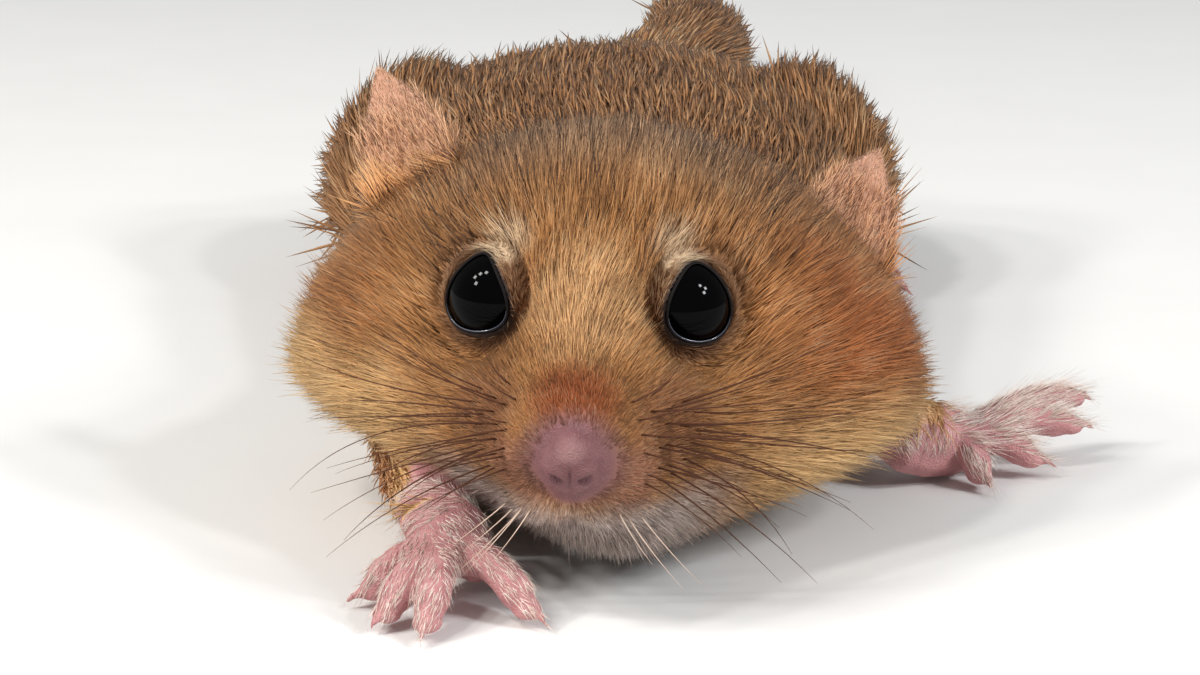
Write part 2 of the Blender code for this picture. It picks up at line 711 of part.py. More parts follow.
def tail(torso):
    """The tail whole, core and locks together, parted into lengths by thin cuts."""
    points = curve_points(TAIL_LINE, TAIL_STEPS)
    frames = frames_along(points)
    places = [i / (len(TAIL_CORE_RADII) - 1) for i in range(len(TAIL_CORE_RADII))]
    each = TAIL_STEPS // TAIL_PIECES
    for piece in range(TAIL_PIECES):
        first, last = piece * each, (piece + 1) * each
        whole = lofted("tail_" + str(piece + 1), rings_along(
            points, frames, range(0, TAIL_STEPS + 1, 3),
            lambda i: smooth_through(places, TAIL_CORE_RADII, i / TAIL_STEPS), TAIL_SIDES))
        locks = tail_locks(points, frames, first - each, last)
        if piece == TAIL_PIECES - 1:
            locks += tip_locks(points, frames)
        boolean(whole, locks, "UNION", "MANIFOLD")
        ends = list(points[first : last + 1])
        if piece > 0:
            ends[0] = ends[0] + frames[first][0] * GAP
        if piece == TAIL_PIECES - 1:
            ends[-1] = ends[-1] + frames[last][0] * LOCK_LENGTH * 2
        stretch = frames[first : last + 1]
        rings = rings_along(ends, stretch, range(0, each + 1, 4), lambda i: SLEEVE_RADIUS, TAIL_SIDES)
        sleeve = lofted("sleeve", rings)
        level_with_floor(sleeve)
        boolean(whole, [sleeve], "INTERSECT", "MANIFOLD")
        keep_largest(whole)
        if piece == 0:
            cut_by(whole, [torso])


def coloured(name, colour, roughness):
    material = bpy.data.materials.new(name)
    material.use_nodes = True
    shader = material.node_tree.nodes["Principled BSDF"]
    shader.inputs["Base Color"].default_value = (*colour, 1.0)
    shader.inputs["Roughness"].default_value = roughness
    shader.inputs["Metallic"].default_value = 0.0
    return material


def colour_pieces():
    golden = (0.46, 0.22, 0.07)
    pink = (0.72, 0.38, 0.36)
    looks = {
        "eye": ((0.01, 0.01, 0.012), 0.08),
        "forefoot": (pink, 0.6),
        "hindfoot": (pink, 0.6),
        "ear": ((0.50, 0.26, 0.13), 0.8),
        "tail": ((0.40, 0.20, 0.07), 0.9),
    }
    for item in bpy.data.objects:
        colour, roughness = looks.get(item.name.split("_")[0], (golden, 0.85))
        item.data.materials.clear()
        item.data.materials.append(coloured(item.name, colour, roughness))


def finish_pieces():
    """Sets the origin under the middle of the animal's box and scales every mesh to metres."""
    corners = [vert.co for item in bpy.data.objects for vert in item.data.vertices]
    middle = Vector((
        (min(c.x for c in corners) + max(c.x for c in corners)) / 2,
        (min(c.y for c in corners) + max(c.y for c in corners)) / 2,
        0.0,
    ))
    for item in bpy.data.objects:
        for vert in item.data.vertices:
            vert.co = (vert.co - middle) * METRE
        item.data.shade_smooth()
        item.data.set_sharp_from_angle(angle=math.radians(40))
        item.data.update()


def main():
    clear_scene()
    head, neck, torso, plain_head = head_and_body()
    eyeballs()
    ear("ear_right", RIGHT_EAR_ROOT, RIGHT_EAR_UP, RIGHT_EAR_FACE, plain_head)
    ear("ear_left", LEFT_EAR_ROOT, LEFT_EAR_UP, LEFT_EAR_FACE, plain_head)
    body = [plain_head, neck, torso]
    right_leg = foreleg("foreleg_right", RIGHT_FORELEG, RIGHT_FORELEG_RADII, body)
    left_leg = foreleg("foreleg_left", LEFT_FORELEG, LEFT_FORELEG_RADII, body)
    forepaw("forefoot_right", RIGHT_FORELEG, RIGHT_PALM, RIGHT_FINGERTIPS, [plain_head, right_leg])
    forepaw("forefoot_left", LEFT_FORELEG, LEFT_PALM, LEFT_FINGERTIPS, [plain_head, left_leg])
    hind_leg(1, "left", torso)
    hind_leg(-1, "right", torso)
    tail(torso)
    bpy.data.objects.remove(plain_head, do_unlink=True)
    colour_pieces()
    finish_pieces()


main()
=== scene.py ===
import math

import bmesh
import bpy
import numpy as np
from mathutils import Matrix, Vector


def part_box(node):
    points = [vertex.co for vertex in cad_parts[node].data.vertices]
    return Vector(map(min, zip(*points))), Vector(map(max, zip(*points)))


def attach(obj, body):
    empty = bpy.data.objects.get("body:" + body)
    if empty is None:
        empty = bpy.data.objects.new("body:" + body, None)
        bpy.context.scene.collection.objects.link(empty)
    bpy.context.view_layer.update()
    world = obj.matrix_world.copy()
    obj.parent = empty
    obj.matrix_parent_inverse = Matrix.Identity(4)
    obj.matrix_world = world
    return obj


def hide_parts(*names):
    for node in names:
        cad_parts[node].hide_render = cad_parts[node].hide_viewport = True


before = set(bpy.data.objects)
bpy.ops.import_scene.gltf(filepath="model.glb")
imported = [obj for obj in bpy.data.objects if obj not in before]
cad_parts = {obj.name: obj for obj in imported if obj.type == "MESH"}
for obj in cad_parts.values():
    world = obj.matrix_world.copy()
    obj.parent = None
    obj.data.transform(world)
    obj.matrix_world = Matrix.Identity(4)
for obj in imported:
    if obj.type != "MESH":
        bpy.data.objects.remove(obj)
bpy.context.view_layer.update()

# The skin: one seamless hide over head, body, legs and feet, with thin cupped ears, a moist nose pad and
# the bony core of the tail. It lies under the solids' outline by the depth of the coat.

# The animal is laid out straight in millimetres, x to its left, y back from the chin, z up, and its head
# is then turned on the neck. Coat and markings are worked out on the straight body.
METRE = 0.001
HEAD_PITCH = math.radians(5.0)
HEAD_YAW = math.radians(-3.7)
HEAD_ROLL = math.radians(1.8)
NECK_PIVOT = np.array((0.0, 22.0, 9.0))
TURN_STARTS_Y = 29.0
TURN_FULL_Y = 18.5
EYE_CENTRE = np.array((3.6, 5.7, 12.95))
EYE_AXIS = np.array((0.45, -0.80, 0.40))
EYE_AXIS = EYE_AXIS / np.linalg.norm(EYE_AXIS)
EYE_RADIUS = 2.25
BALL_CENTRE = EYE_CENTRE + np.array((-0.03, 0.26, -0.36))


def smooth_step(low, high, value):
    """0 at low, 1 at high, eased between."""
    share = np.clip((value - low) / (high - low), 0.0, 1.0)
    return share * share * (3 - 2 * share)


def turned(points, angles, order):
    """Turns each point by its own angles about x, y and z in the given order."""
    points = points.copy()
    for axis in order:
        a, b = ((1, 2), (2, 0), (0, 1))["XYZ".index(axis)]
        cos, sin = np.cos(angles[axis]), np.sin(angles[axis])
        first, second = points[:, a].copy(), points[:, b].copy()
        points[:, a] = cos * first - sin * second
        points[:, b] = sin * first + cos * second
    return points


def head_angles(y, sign=1.0):
    """How far the head's turn is felt at a distance back from the nose."""
    share = 1 - smooth_step(TURN_FULL_Y, TURN_STARTS_Y, y)
    return {"X": sign * HEAD_PITCH * share, "Y": sign * HEAD_ROLL * share, "Z": sign * HEAD_YAW * share}


def posed(points):
    """The straight body's points with the head turned."""
    points = np.atleast_2d(points)
    return NECK_PIVOT + turned(points - NECK_PIVOT, head_angles(points[:, 1]), "YXZ")


def straightened(points):
    """The posed body's points with the head turned back."""
    points = np.atleast_2d(points)
    straight = points.copy()
    for _ in range(4):
        straight = NECK_PIVOT + turned(points - NECK_PIVOT, head_angles(straight[:, 1], -1.0), "ZXY")
    return straight


eye_low, eye_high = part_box("eye_left")
ORIGIN = posed(EYE_CENTRE)[0] - (np.array(eye_low) + np.array(eye_high)) / 2 / METRE


def mirrored(point, side):
    """A point of the animal's left half, on the side that is asked for."""
    return np.array((side * point[0], point[1], point[2]))


# The sizes of the hide's parts, in millimetres on the straight body.
BODY_VOXEL = 0.44
FOOT_VOXEL = 0.15
SEAM_GROWTH = 0.35
FOOT_GROWTH = 0.02
SOCKET_FILL = 0.5
MELT_PASSES = 8
FOOT_MELT_PASSES = 5
LEG_COAT_DEPTH = 0.3
NOSE_CENTRE = np.array((0.0, -3.05, 9.35))
NOSE_RADII = np.array((1.16, 1.06, 1.32))
NOSE_TIP = np.array((0.0, -3.4, 9.2))
EAR_LENGTH = 5.9
EAR_HALF_WIDTH = 2.6
EAR_CUP = 1.2
EAR_SKIN_THICKNESS = 0.26
EAR_LEAN_BACK = 0.9
EARS = {
    "right": ((-7.4, 12.8, 14.7), (-0.48, 0.40, 0.78), (-0.34, -0.88, 0.34)),
    "left": ((9.7, 13.0, 12.4), (0.40, 0.60, 0.69), (0.36, -0.84, 0.40)),
}
RIGHT_FORELEG = ((-8.2, 27.8, 4.2), (-8.9, 18.0, 2.6), (-8.3, 10.5, 2.2), (-7.4, 5.4, 2.7))
LEFT_FORELEG = ((9.2, 28.6, 4.4), (10.2, 22.4, 3.2), (12.4, 17.2, 2.5))
RIGHT_PALM = np.array((-6.3, 1.9, 2.2))
RIGHT_FINGERTIPS = ((-9.7, 0.7, 0.6), (-8.9, -1.9, 0.6), (-7.2, -3.0, 0.6), (-3.2, -1.5, 0.6))
LEFT_PALM = np.array((15.4, 17.7, 1.6))
LEFT_FINGERTIPS = ((21.4, 21.2, 2.7), (21.1, 19.4, 1.9), (19.0, 17.2, 0.9), (16.4, 15.4, 0.6))
HEEL = np.array((12.9, 63.0, 1.7))
SOLE_END = np.array((13.8, 53.6, 1.3))
TOE_TIPS = ((11.9, 50.0, 0.6), (12.9, 48.2, 0.6), (14.1, 47.5, 0.6), (15.3, 48.3, 0.6), (16.3, 50.6, 0.6))
TAIL_LINE = (
    (0.0, 69.4, 5.0),
    (0.5, 77.0, 4.6),
    (2.6, 88.0, 4.4),
    (5.2, 99.0, 4.4),
    (6.6, 109.5, 4.4),
    (5.6, 120.5, 4.4),
)
TAIL_CORE_RADII = (2.0, 2.05, 2.05, 1.9, 1.6, 1.1)
TAIL_COAT_RADII = (3.6, 4.3, 4.7, 4.7, 4.4, 3.6)


def new_piece(name, points, faces):
    """A mesh object from points in straight or posed millimetres, kept in millimetres."""
    mesh = bpy.data.meshes.new(name)
    mesh.from_pydata(np.asarray(points).tolist(), [], faces)
    item = bpy.data.objects.new(name, mesh)
    bpy.context.scene.collection.objects.link(item)
    return item


def points_of(mesh):
    points = np.empty(len(mesh.vertices) * 3)
    mesh.vertices.foreach_get("co", points)
    return points.reshape(-1, 3)


def set_points(mesh, points):
    mesh.vertices.foreach_set("co", np.asarray(points, dtype=float).ravel())
    mesh.update()


def normals_of(mesh):
    normals = np.empty(len(mesh.vertices) * 3)
    mesh.vertices.foreach_get("normal", normals)
    return normals.reshape(-1, 3)


def removed(item):
    mesh = item.data
    bpy.data.objects.remove(item, do_unlink=True)
    bpy.data.meshes.remove(mesh)


def coat_depth(place):
    """How far the skin lies under the coat's outline: hardly at the nose, most on the back."""
    y = place[:, 1]
    depth = 0.08 + 0.32 * smooth_step(-3.0, 3.0, y) + 0.35 * smooth_step(3.0, 12.0, y)
    return depth + 0.3 * smooth_step(18.0, 32.0, y)


def line_through(controls, count):
    """Points of a smooth curve that passes through the controls."""
    controls = np.array(controls, dtype=float)
    controls = np.vstack((2 * controls[0] - controls[1], controls, 2 * controls[-1] - controls[-2]))
    spans = len(controls) - 3
    place = np.minimum(np.arange(count + 1) * spans / count, spans - 1e-9)
    i = place.astype(int)
    t = (place - i)[:, None]
    a, b, c, d = controls[i], controls[i + 1], controls[i + 2], controls[i + 3]
    square = (2 * a - 5 * b + 4 * c - d) * t**2
    cube = (3 * b - a - 3 * c + d) * t**3
    return 0.5 * (2 * b + (c - a) * t + square + cube)


def copy_in_millimetres(node, growth):
    """The CAD solid's mesh, welded, in posed millimetres, its surface moved out by the growth."""
    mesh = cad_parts[node].data.copy()
    item = bpy.data.objects.new("copy_" + node, mesh)
    bpy.context.scene.collection.objects.link(item)
    set_points(mesh, points_of(mesh) / METRE + ORIGIN)
    work = bmesh.new()
    work.from_mesh(mesh)
    bmesh.ops.remove_doubles(work, verts=work.verts, dist=0.001)
    work.to_mesh(mesh)
    work.free()
    points = points_of(mesh)
    set_points(mesh, points + normals_of(mesh) * growth(straightened(points))[:, None])
    return item


def ball(name, centre, radius, around=24, along=16):
    item = bpy.data.objects.new(name, bpy.data.meshes.new(name))
    bpy.context.scene.collection.objects.link(item)
    work = bmesh.new()
    bmesh.ops.create_uvsphere(work, u_segments=around, v_segments=along, radius=1.0)
    work.to_mesh(item.data)
    work.free()
    set_points(item.data, points_of(item.data) * radius + centre)
    return item


def applied(item):
    """Works the item's modifiers into its mesh."""
    shown = item.evaluated_get(bpy.context.evaluated_depsgraph_get())
    mesh = bpy.data.meshes.new_from_object(shown)
    old = item.data
    item.modifiers.clear()
    item.data = mesh
    bpy.data.meshes.remove(old)


def melted(name, items, voxel, smoothing):
    """Joins closed meshes into one smooth surface."""
    work = bmesh.new()
    for item in items:
        work.from_mesh(item.data)
        removed(item)
    mesh = bpy.data.meshes.new(name)
    work.to_mesh(mesh)
    work.free()
    whole = bpy.data.objects.new(name, mesh)
    bpy.context.scene.collection.objects.link(whole)
    remesh = whole.modifiers.new("melt", "REMESH")
    remesh.mode = "VOXEL"
    remesh.voxel_size = voxel
    smooth = whole.modifiers.new("smooth", "SMOOTH")
    smooth.factor = 0.5
    smooth.iterations = smoothing
    applied(whole)
    return whole


def constant(value):
    return lambda place: np.full(len(place), value)


def leg_growth(place):
    return SEAM_GROWTH + coat_depth(place) - LEG_COAT_DEPTH


body_parts = [copy_in_millimetres(node, constant(SEAM_GROWTH)) for node in ("head", "neck", "torso")]
body_parts += [copy_in_millimetres(node, constant(SEAM_GROWTH)) for node in ("thigh_left", "thigh_right")]
body_parts += [copy_in_millimetres(node, leg_growth) for node in ("foreleg_left", "foreleg_right")]
for side in (1, -1):
    eye = mirrored(BALL_CENTRE, side)
    body_parts.append(ball("socket_fill", posed(eye)[0], EYE_RADIUS + SOCKET_FILL))
body = melted("body", body_parts, BODY_VOXEL, MELT_PASSES)
body_points = points_of(body.data)
body_place = straightened(body_points)
body_points = body_points - normals_of(body.data) * (SEAM_GROWTH + coat_depth(body_place))[:, None]
body_place = straightened(body_points)


def eye_frame(side):
    """Across, outward and up at one eye: outward is the way it looks."""
    axis = mirrored(EYE_AXIS, side)
    across = np.cross(axis, (0.0, 0.0, 1.0))
    across /= np.linalg.norm(across)
    return across, axis, np.cross(across, axis)


# The eyes' opening: round below and drawn to a point above, which leans out from the middle of the face.
LID_HALF_WIDTH = 1.56
LID_HALF_HEIGHT = 1.54
LID_PINCH = {1: 0.24, -1: 0.34}
LID_MIDDLE_SHARE = 0.88
LID_LEAN = math.radians(6.0)
LID_DROP = 0.12
LID_FINE_REACH = 3.8
LID_LEAST_OUT = 1.0
LID_THICKNESS = 0.05
SOCKET_DEPTH = 0.3
HOLLOW_REACH = 2.5
RISE_REACH = 2.0


def lid_outline(angle, side, scale=1.0):
    """Across and up of the eye's opening."""
    rise = np.sin(angle)
    x = LID_HALF_WIDTH * np.cos(angle) * (LID_MIDDLE_SHARE - LID_PINCH[side] * rise) * scale
    z = LID_HALF_HEIGHT * rise * (1 + 0.06 * np.maximum(rise, 0) ** 3) * scale
    lean = LID_LEAN * side
    return x * math.cos(lean) - z * math.sin(lean), x * math.sin(lean) + z * math.cos(lean) - LID_DROP


def lid_share(points, side):
    """0 in the middle of one eye's opening, 1 at its edge, and far more behind the eye."""
    across, axis, up = eye_frame(side)
    away = points - mirrored(BALL_CENTRE, side)
    x, z, out = away @ across, away @ up + LID_DROP, away @ axis
    edge_x, edge_z = lid_outline(np.linspace(0, 2 * np.pi, 181)[:-1], side)
    edge_z = edge_z + LID_DROP
    turn = np.arctan2(edge_z, edge_x)
    order = np.argsort(turn)
    reach = np.interp(np.arctan2(z, x), turn[order], np.hypot(edge_x, edge_z)[order], period=2 * np.pi)
    return np.where(out > 0, np.hypot(x, z) / reach, 9.0)


# Round each eye the hide is finer, and inside the lids it is drawn back into the ball.
work = bmesh.new()
work.from_mesh(body.data)
work.verts.ensure_lookup_table()
to_eye = np.minimum(*(np.linalg.norm(body_place - mirrored(BALL_CENTRE, side), axis=1) for side in (1, -1)))
near_eye = to_eye < LID_FINE_REACH
edges = [edge for edge in work.edges if near_eye[edge.verts[0].index] and near_eye[edge.verts[1].index]]
set_points(body.data, body_points)
for vert, point in zip(work.verts, body_points):
    vert.co = point
bmesh.ops.subdivide_edges(work, edges=edges, cuts=2, use_grid_fill=True)
bmesh.ops.triangulate(work, faces=work.faces)
work.to_mesh(body.data)
work.free()
body_place = straightened(points_of(body.data))
for side in (1, -1):
    across, axis, up = eye_frame(side)
    away = body_place - mirrored(BALL_CENTRE, side)
    out = away @ axis
    share = lid_share(body_place, side)
    aside = np.linalg.norm(away - out[:, None] * axis, axis=1)
    on_ball = np.sqrt(np.maximum(EYE_RADIUS**2 - aside**2, LID_LEAST_OUT**2))
    above = LID_THICKNESS - (LID_THICKNESS + SOCKET_DEPTH) * smooth_step(1.02, 0.92, share)
    shift = on_ball + above - out
    settled = np.where(shift < 0, smooth_step(HOLLOW_REACH, 1.4, share), smooth_step(RISE_REACH, 1.3, share))
    body_place = body_place + (shift * settled * smooth_step(0.0, 0.8, out))[:, None] * axis
set_points(body.data, posed(body_place))


def nose_pad():
    """The bare pad: a rounded shield with comma nostrils at its sides and a cleft down the middle."""
    item = ball("nose", np.zeros(3), 1.0, 96, 64)
    unit = points_of(item.data)
    unit = unit[:, [0, 2, 1]] * np.array((1.0, -1.0, 1.0))
    x, y, z = unit[:, 0], unit[:, 1], unit[:, 2]
    front = smooth_step(0.1, -0.4, y)
    narrow = 1 - 0.18 * smooth_step(0.1, -0.9, z)
    shape = unit * NOSE_RADII
    shape[:, 0] *= narrow
    cleft = np.exp(-((x / 0.085) ** 2)) * smooth_step(0.35, -0.15, z) * front
    dome = np.exp(-((x / 0.5) ** 2)) * smooth_step(-0.2, 0.5, z) * front
    slit = np.zeros(len(unit))
    for side in (1, -1):
        across = (x - side * 0.56) * side
        along = z + 0.30 - 0.4 * across
        slit += np.exp(-((across / 0.24) ** 2) - (along / 0.14) ** 2) * front
    ala = np.exp(-(((np.abs(x) - 0.62) / 0.3) ** 2) - ((z + 0.05) / 0.3) ** 2) * front
    push = -0.08 * cleft + 0.1 * dome - 0.5 * slit + 0.2 * ala
    shape += unit * push[:, None]
    set_points(item.data, posed(shape + NOSE_CENTRE))
    return item


def ear_frame(name):
    """An ear's root, and the ways across it, up it and out of its hollow."""
    root, up, face = (np.array(v, dtype=float) for v in EARS[name])
    up = up / np.linalg.norm(up)
    face = face / np.linalg.norm(face)
    side = np.cross(up, face)
    side /= np.linalg.norm(side)
    return root, side, up, np.cross(side, up)


def ear_sheet(name, thickness, rows=44, columns=30):
    """A cupped pinna with a soft rounded rim, as two skins joined round the edge."""
    root, side, up, face = ear_frame(name)
    sheets = []
    for depth in (0.0, thickness):
        for i in range(rows + 1):
            along = i / rows
            width = EAR_HALF_WIDTH * (1 - min(along, 0.995) ** 1.9) ** 0.85
            width *= 0.8 + 0.2 * min(along * 3, 1)
            height = EAR_LENGTH * (along * 1.2 - 0.2)
            for j in range(columns + 1):
                across = 2 * j / columns - 1
                cup = EAR_CUP * (width * across / EAR_HALF_WIDTH) ** 2 - EAR_LEAN_BACK * along**2
                fold = 0.22 * math.exp(-(((across - 0.45) / 0.16) ** 2) - ((along - 0.35) / 0.25) ** 2)
                edge = min(1.0, 4 * (1 - abs(across)), 6 * (1 - along) + 0.1)
                forward = cup + fold - 0.15 - (depth - thickness / 2) * edge**0.5
                sheets.append(root + up * height + side * (width * across) + face * forward)
    count = (rows + 1) * (columns + 1)
    wide = columns + 1
    faces = []
    for i in range(rows):
        for j in range(columns):
            a = i * wide + j
            b, c, d = a + 1, a + wide + 1, a + wide
            faces.append((a, b, c, d))
            faces.append((count + a, count + d, count + c, count + b))
    border = [j for j in range(wide)]
    border += [i * wide + columns for i in range(1, rows + 1)]
    border += [rows * wide + j for j in range(columns - 1, -1, -1)]
    border += [i * wide for i in range(rows - 1, 0, -1)]
    for i, a in enumerate(border):
        b = border[(i + 1) % len(border)]
        faces.append((b, a, count + a, count + b))
    item = new_piece("ear", posed(np.array(sheets)), faces)
    outward(item)
    return item


def outward(item):
    """Turns a closed mesh's faces to point out."""
    work = bmesh.new()
    work.from_mesh(item.data)
    bmesh.ops.recalc_face_normals(work, faces=work.faces)
    bmesh.ops.triangulate(work, faces=work.faces)
    work.to_mesh(item.data)
    work.free()


def limb(name, line, radii, sides=24):
    """A closed round limb along a line of points."""
    count = len(line)
    places = np.linspace(0, 1, len(radii))
    radius = np.interp(np.linspace(0, 1, count), places, radii)
    ahead = np.gradient(line, axis=0)
    ahead /= np.linalg.norm(ahead, axis=1)[:, None]
    side = np.cross(ahead, (0.0, 0.0, 1.0))
    side /= np.linalg.norm(side, axis=1)[:, None]
    up = np.cross(side, ahead)
    angle = 2 * np.pi * np.arange(sides) / sides
    ring = np.cos(angle)[None, :, None] * side[:, None] + np.sin(angle)[None, :, None] * up[:, None]
    points = (line[:, None] + radius[:, None, None] * ring).reshape(-1, 3)
    faces = [tuple(range(sides)), tuple(range((count - 1) * sides, count * sides))]
    for i in range(count - 1):
        for k in range(sides):
            after = (k + 1) % sides
            faces.append((i * sides + k, i * sides + after, (i + 1) * sides + after, (i + 1) * sides + k))
    item = new_piece(name, points, faces)
    outward(item)
    return item


def finer_foot(node, tips, palm, pad_radius):
    """A foot with the pads under its palm and the bulbs at its toes' ends."""
    pieces = [copy_in_millimetres(node, constant(FOOT_GROWTH))]
    for tip in tips:
        tip = np.array(tip)
        inward = (palm - tip) / np.linalg.norm(palm - tip)
        pad = tip + inward * 0.25
        pad[2] = max(pad[2] - 0.05, pad_radius * 0.62)
        pieces.append(ball("pad", pad, pad_radius * np.array((1.0, 1.0, 0.62))))
        heel = palm - inward * -0.9
        heel[2] = max(palm[2] * 0.5, 0.62)
        pieces.append(ball("pad", heel, np.array((0.62, 0.62, 0.6))))
    foot = melted(node + "_skin", pieces, FOOT_VOXEL, FOOT_MELT_PASSES)
    points = points_of(foot.data)
    points[:, 2] = np.maximum(points[:, 2], 0.0)
    set_points(foot.data, points)
    return foot


def united(item, others):
    for other in others:
        join = item.modifiers.new("join", "BOOLEAN")
        join.operation = "UNION"
        join.solver = "MANIFOLD"
        join.object = other
    applied(item)
    for other in others:
        removed(other)


tail_line = line_through(TAIL_LINE, 96)
others = [nose_pad(), limb("tail_core", tail_line, TAIL_CORE_RADII)]
others += [ear_sheet(name, EAR_SKIN_THICKNESS) for name in ("right", "left")]
others.append(finer_foot("forefoot_right", RIGHT_FINGERTIPS, RIGHT_PALM, 0.62))
others.append(finer_foot("forefoot_left", LEFT_FINGERTIPS, LEFT_PALM, 0.62))
for side, name in ((1, "left"), (-1, "right")):
    tips = [mirrored(tip, side) for tip in TOE_TIPS]
    others.append(finer_foot("hindfoot_" + name, tips, mirrored(SOLE_END, side), 0.55))
united(body, others)
skin = body
skin.name = "skin"


# Bare places and places of fur are told apart by where they lie on the hide.
FOOT_REACH = 2.1
LEG_REACH = 2.6
WRIST_TOP = 4.6
TAIL_STARTS_Y = 71.5
POINTS_AT_ONCE = 20000


def near_line(points, line, reach):
    """True within reach of a line of points."""
    nearest = np.full(len(points), 1e9)
    for first in range(0, len(points), POINTS_AT_ONCE):
        part = slice(first, first + POINTS_AT_ONCE)
        nearest[part] = np.linalg.norm(points[part, None] - line[None], axis=2).min(axis=1)
    return nearest < reach


def inside_box(points, node, margin=0.12):
    low, high = (np.array(corner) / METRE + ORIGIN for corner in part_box(node))
    return ((points > low - margin) & (points < high + margin)).all(axis=1)


def ear_coordinates(place, name):
    """Across, up and forward of an ear's root, on the straight head."""
    root, side, up, face = ear_frame(name)
    away = place - root
    return away @ side, away @ up, away @ face


def on_ear(place, name):
    across, up, forward = ear_coordinates(place, name)
    along = (up / EAR_LENGTH + 0.2) / 1.2
    middle = EAR_CUP * (across / EAR_HALF_WIDTH) ** 2 - EAR_LEAN_BACK * along**2
    return (up > 0.5) & (np.abs(across) < EAR_HALF_WIDTH + 0.2) & (np.abs(forward - middle) < 0.85)


skin_posed = points_of(skin.data)
skin_posed[:, 2] = np.maximum(skin_posed[:, 2], 0.0)
skin_place = straightened(skin_posed)
set_points(skin.data, skin_place)
skin_normal = normals_of(skin.data)
set_points(skin.data, skin_posed)
is_foot = np.zeros(len(skin_posed), bool)
for node in ("forefoot_left", "forefoot_right", "hindfoot_left", "hindfoot_right"):
    is_foot |= inside_box(skin_posed, node)
foot_lines = [np.linspace(RIGHT_PALM, tip, 12) for tip in RIGHT_FINGERTIPS]
foot_lines += [np.linspace(LEFT_PALM, tip, 12) for tip in LEFT_FINGERTIPS]
foot_lines += [np.linspace(mirrored(SOLE_END, s), mirrored(tip, s), 12) for s in (1, -1) for tip in TOE_TIPS]
foot_lines += [np.linspace(mirrored(HEEL, s), mirrored(SOLE_END, s), 14) for s in (1, -1)]
is_foot &= near_line(skin_posed, np.vstack(foot_lines), FOOT_REACH)
leg_lines = [line_through(RIGHT_FORELEG, 40), line_through(LEFT_FORELEG, 40)]
low_down = skin_posed[:, 2] < WRIST_TOP
is_leg = near_line(skin_posed, np.vstack(leg_lines), LEG_REACH) & low_down & ~is_foot
nose_away = (skin_place - NOSE_CENTRE) / NOSE_RADII
nose_near = np.linalg.norm(nose_away, axis=1)
on_pad = (skin_place[:, 1] < -3.2) & (np.abs(skin_place[:, 2] - 8.9) < 1.0)
is_nose = nose_near < np.where(on_pad, 1.4, 1.1)
is_ear = on_ear(skin_place, "left") | on_ear(skin_place, "right")
is_tail = skin_place[:, 1] > TAIL_STARTS_Y
right_reach, left_reach = (np.linalg.norm(skin_posed - palm, axis=1) for palm in (RIGHT_PALM, LEFT_PALM))
left_wrist = smooth_step(6.6, 5.0, left_reach) * (is_leg | ((skin_posed[:, 0] > 11.5) & low_down))
left_wrist *= smooth_step(0.8, 0.45, skin_normal[:, 2])
wrist = np.maximum(smooth_step(6.4, 4.6, right_reach) * is_leg, left_wrist * ~is_foot)
is_wrist = wrist > 0.4
is_leg &= ~is_wrist
bare = np.maximum(is_foot * 1.0, smooth_step(1.6, 1.1, nose_near))
bare = np.maximum(np.maximum(bare, wrist), is_ear * 0.6)


def store(mesh, name, values, kind="FLOAT"):
    """Values at a mesh's points, by name, for its material."""
    layer = mesh.attributes.new(name, kind, "POINT")
    field = "vector" if kind == "FLOAT_VECTOR" else "value"
    layer.data.foreach_set(field, np.asarray(values, float).ravel())


store(skin.data, "place", skin_place, "FLOAT_VECTOR")
store(skin.data, "along", np.full(len(skin_place), 0.2))
store(skin.data, "tone", np.full(len(skin_place), 0.5))
store(skin.data, "bare", bare)
store(skin.data, "ear", is_ear * 1.0)
lid_margin = smooth_step(1.26, 1.08, np.minimum(lid_share(skin_place, 1), lid_share(skin_place, -1)))
store(skin.data, "lid", lid_margin)
set_points(skin.data, (skin_posed - ORIGIN) * METRE)
skin.data.shade_smooth()


class Paint:
    """A socket in a material, so that what it is made of reads as plain arithmetic."""

    def __init__(self, tree, socket=None):
        self.tree = tree
        self.socket = socket

    def node(self, kind, settings=None, inputs=None, output=0):
        """Adds a node: its settings first, then the values or links of its sockets."""
        made = self.tree.nodes.new(kind)
        for name, value in (settings or {}).items():
            if name == "stops":
                ramp = made.color_ramp
                while len(ramp.elements) < len(value):
                    ramp.elements.new(0.5)
                for element, (place, colour) in zip(ramp.elements, value):
                    element.position = place
                    element.color = colour
            else:
                setattr(made, name, value)
        for name, value in (inputs or {}).items():
            if isinstance(value, Paint):
                self.tree.links.new(value.socket, made.inputs[name])
            else:
                made.inputs[name].default_value = value
        return Paint(self.tree, made.outputs[output])

    def math(self, operation, first, second=0.0, clamp=False):
        settings = {"operation": operation, "use_clamp": clamp}
        return self.node("ShaderNodeMath", settings, {0: first, 1: second})

    def __add__(self, other):
        return self.math("ADD", self, other)

    __radd__ = __add__

    def __sub__(self, other):
        return self.math("SUBTRACT", self, other)

    def __rsub__(self, other):
        return self.math("SUBTRACT", other, self)

    def __mul__(self, other):
        return self.math("MULTIPLY", self, other)

    __rmul__ = __mul__

    def __truediv__(self, other):
        return self.math("DIVIDE", self, other)

    def within(self, low, high):
        """0 at low, 1 at high, eased between."""
        settings = {"interpolation_type": "SMOOTHSTEP"}
        return self.node("ShaderNodeMapRange", settings, {"Value": self, "From Min": low, "From Max": high})

    def over(self, under, amount, blend="MIX"):
        """This colour laid over another by an amount."""
        settings = {"data_type": "RGBA", "blend_type": blend}
        return self.node("ShaderNodeMix", settings, {0: amount, 6: under, 7: self}, 2)


def colour(red, green, blue):
    """A colour as seen on a screen, 0 to 255, as the shader wants it."""
    linear = [((c / 255 + 0.055) / 1.055) ** 2.4 if c > 10 else c / 255 / 12.92 for c in (red, green, blue)]
    return (*linear, 1.0)


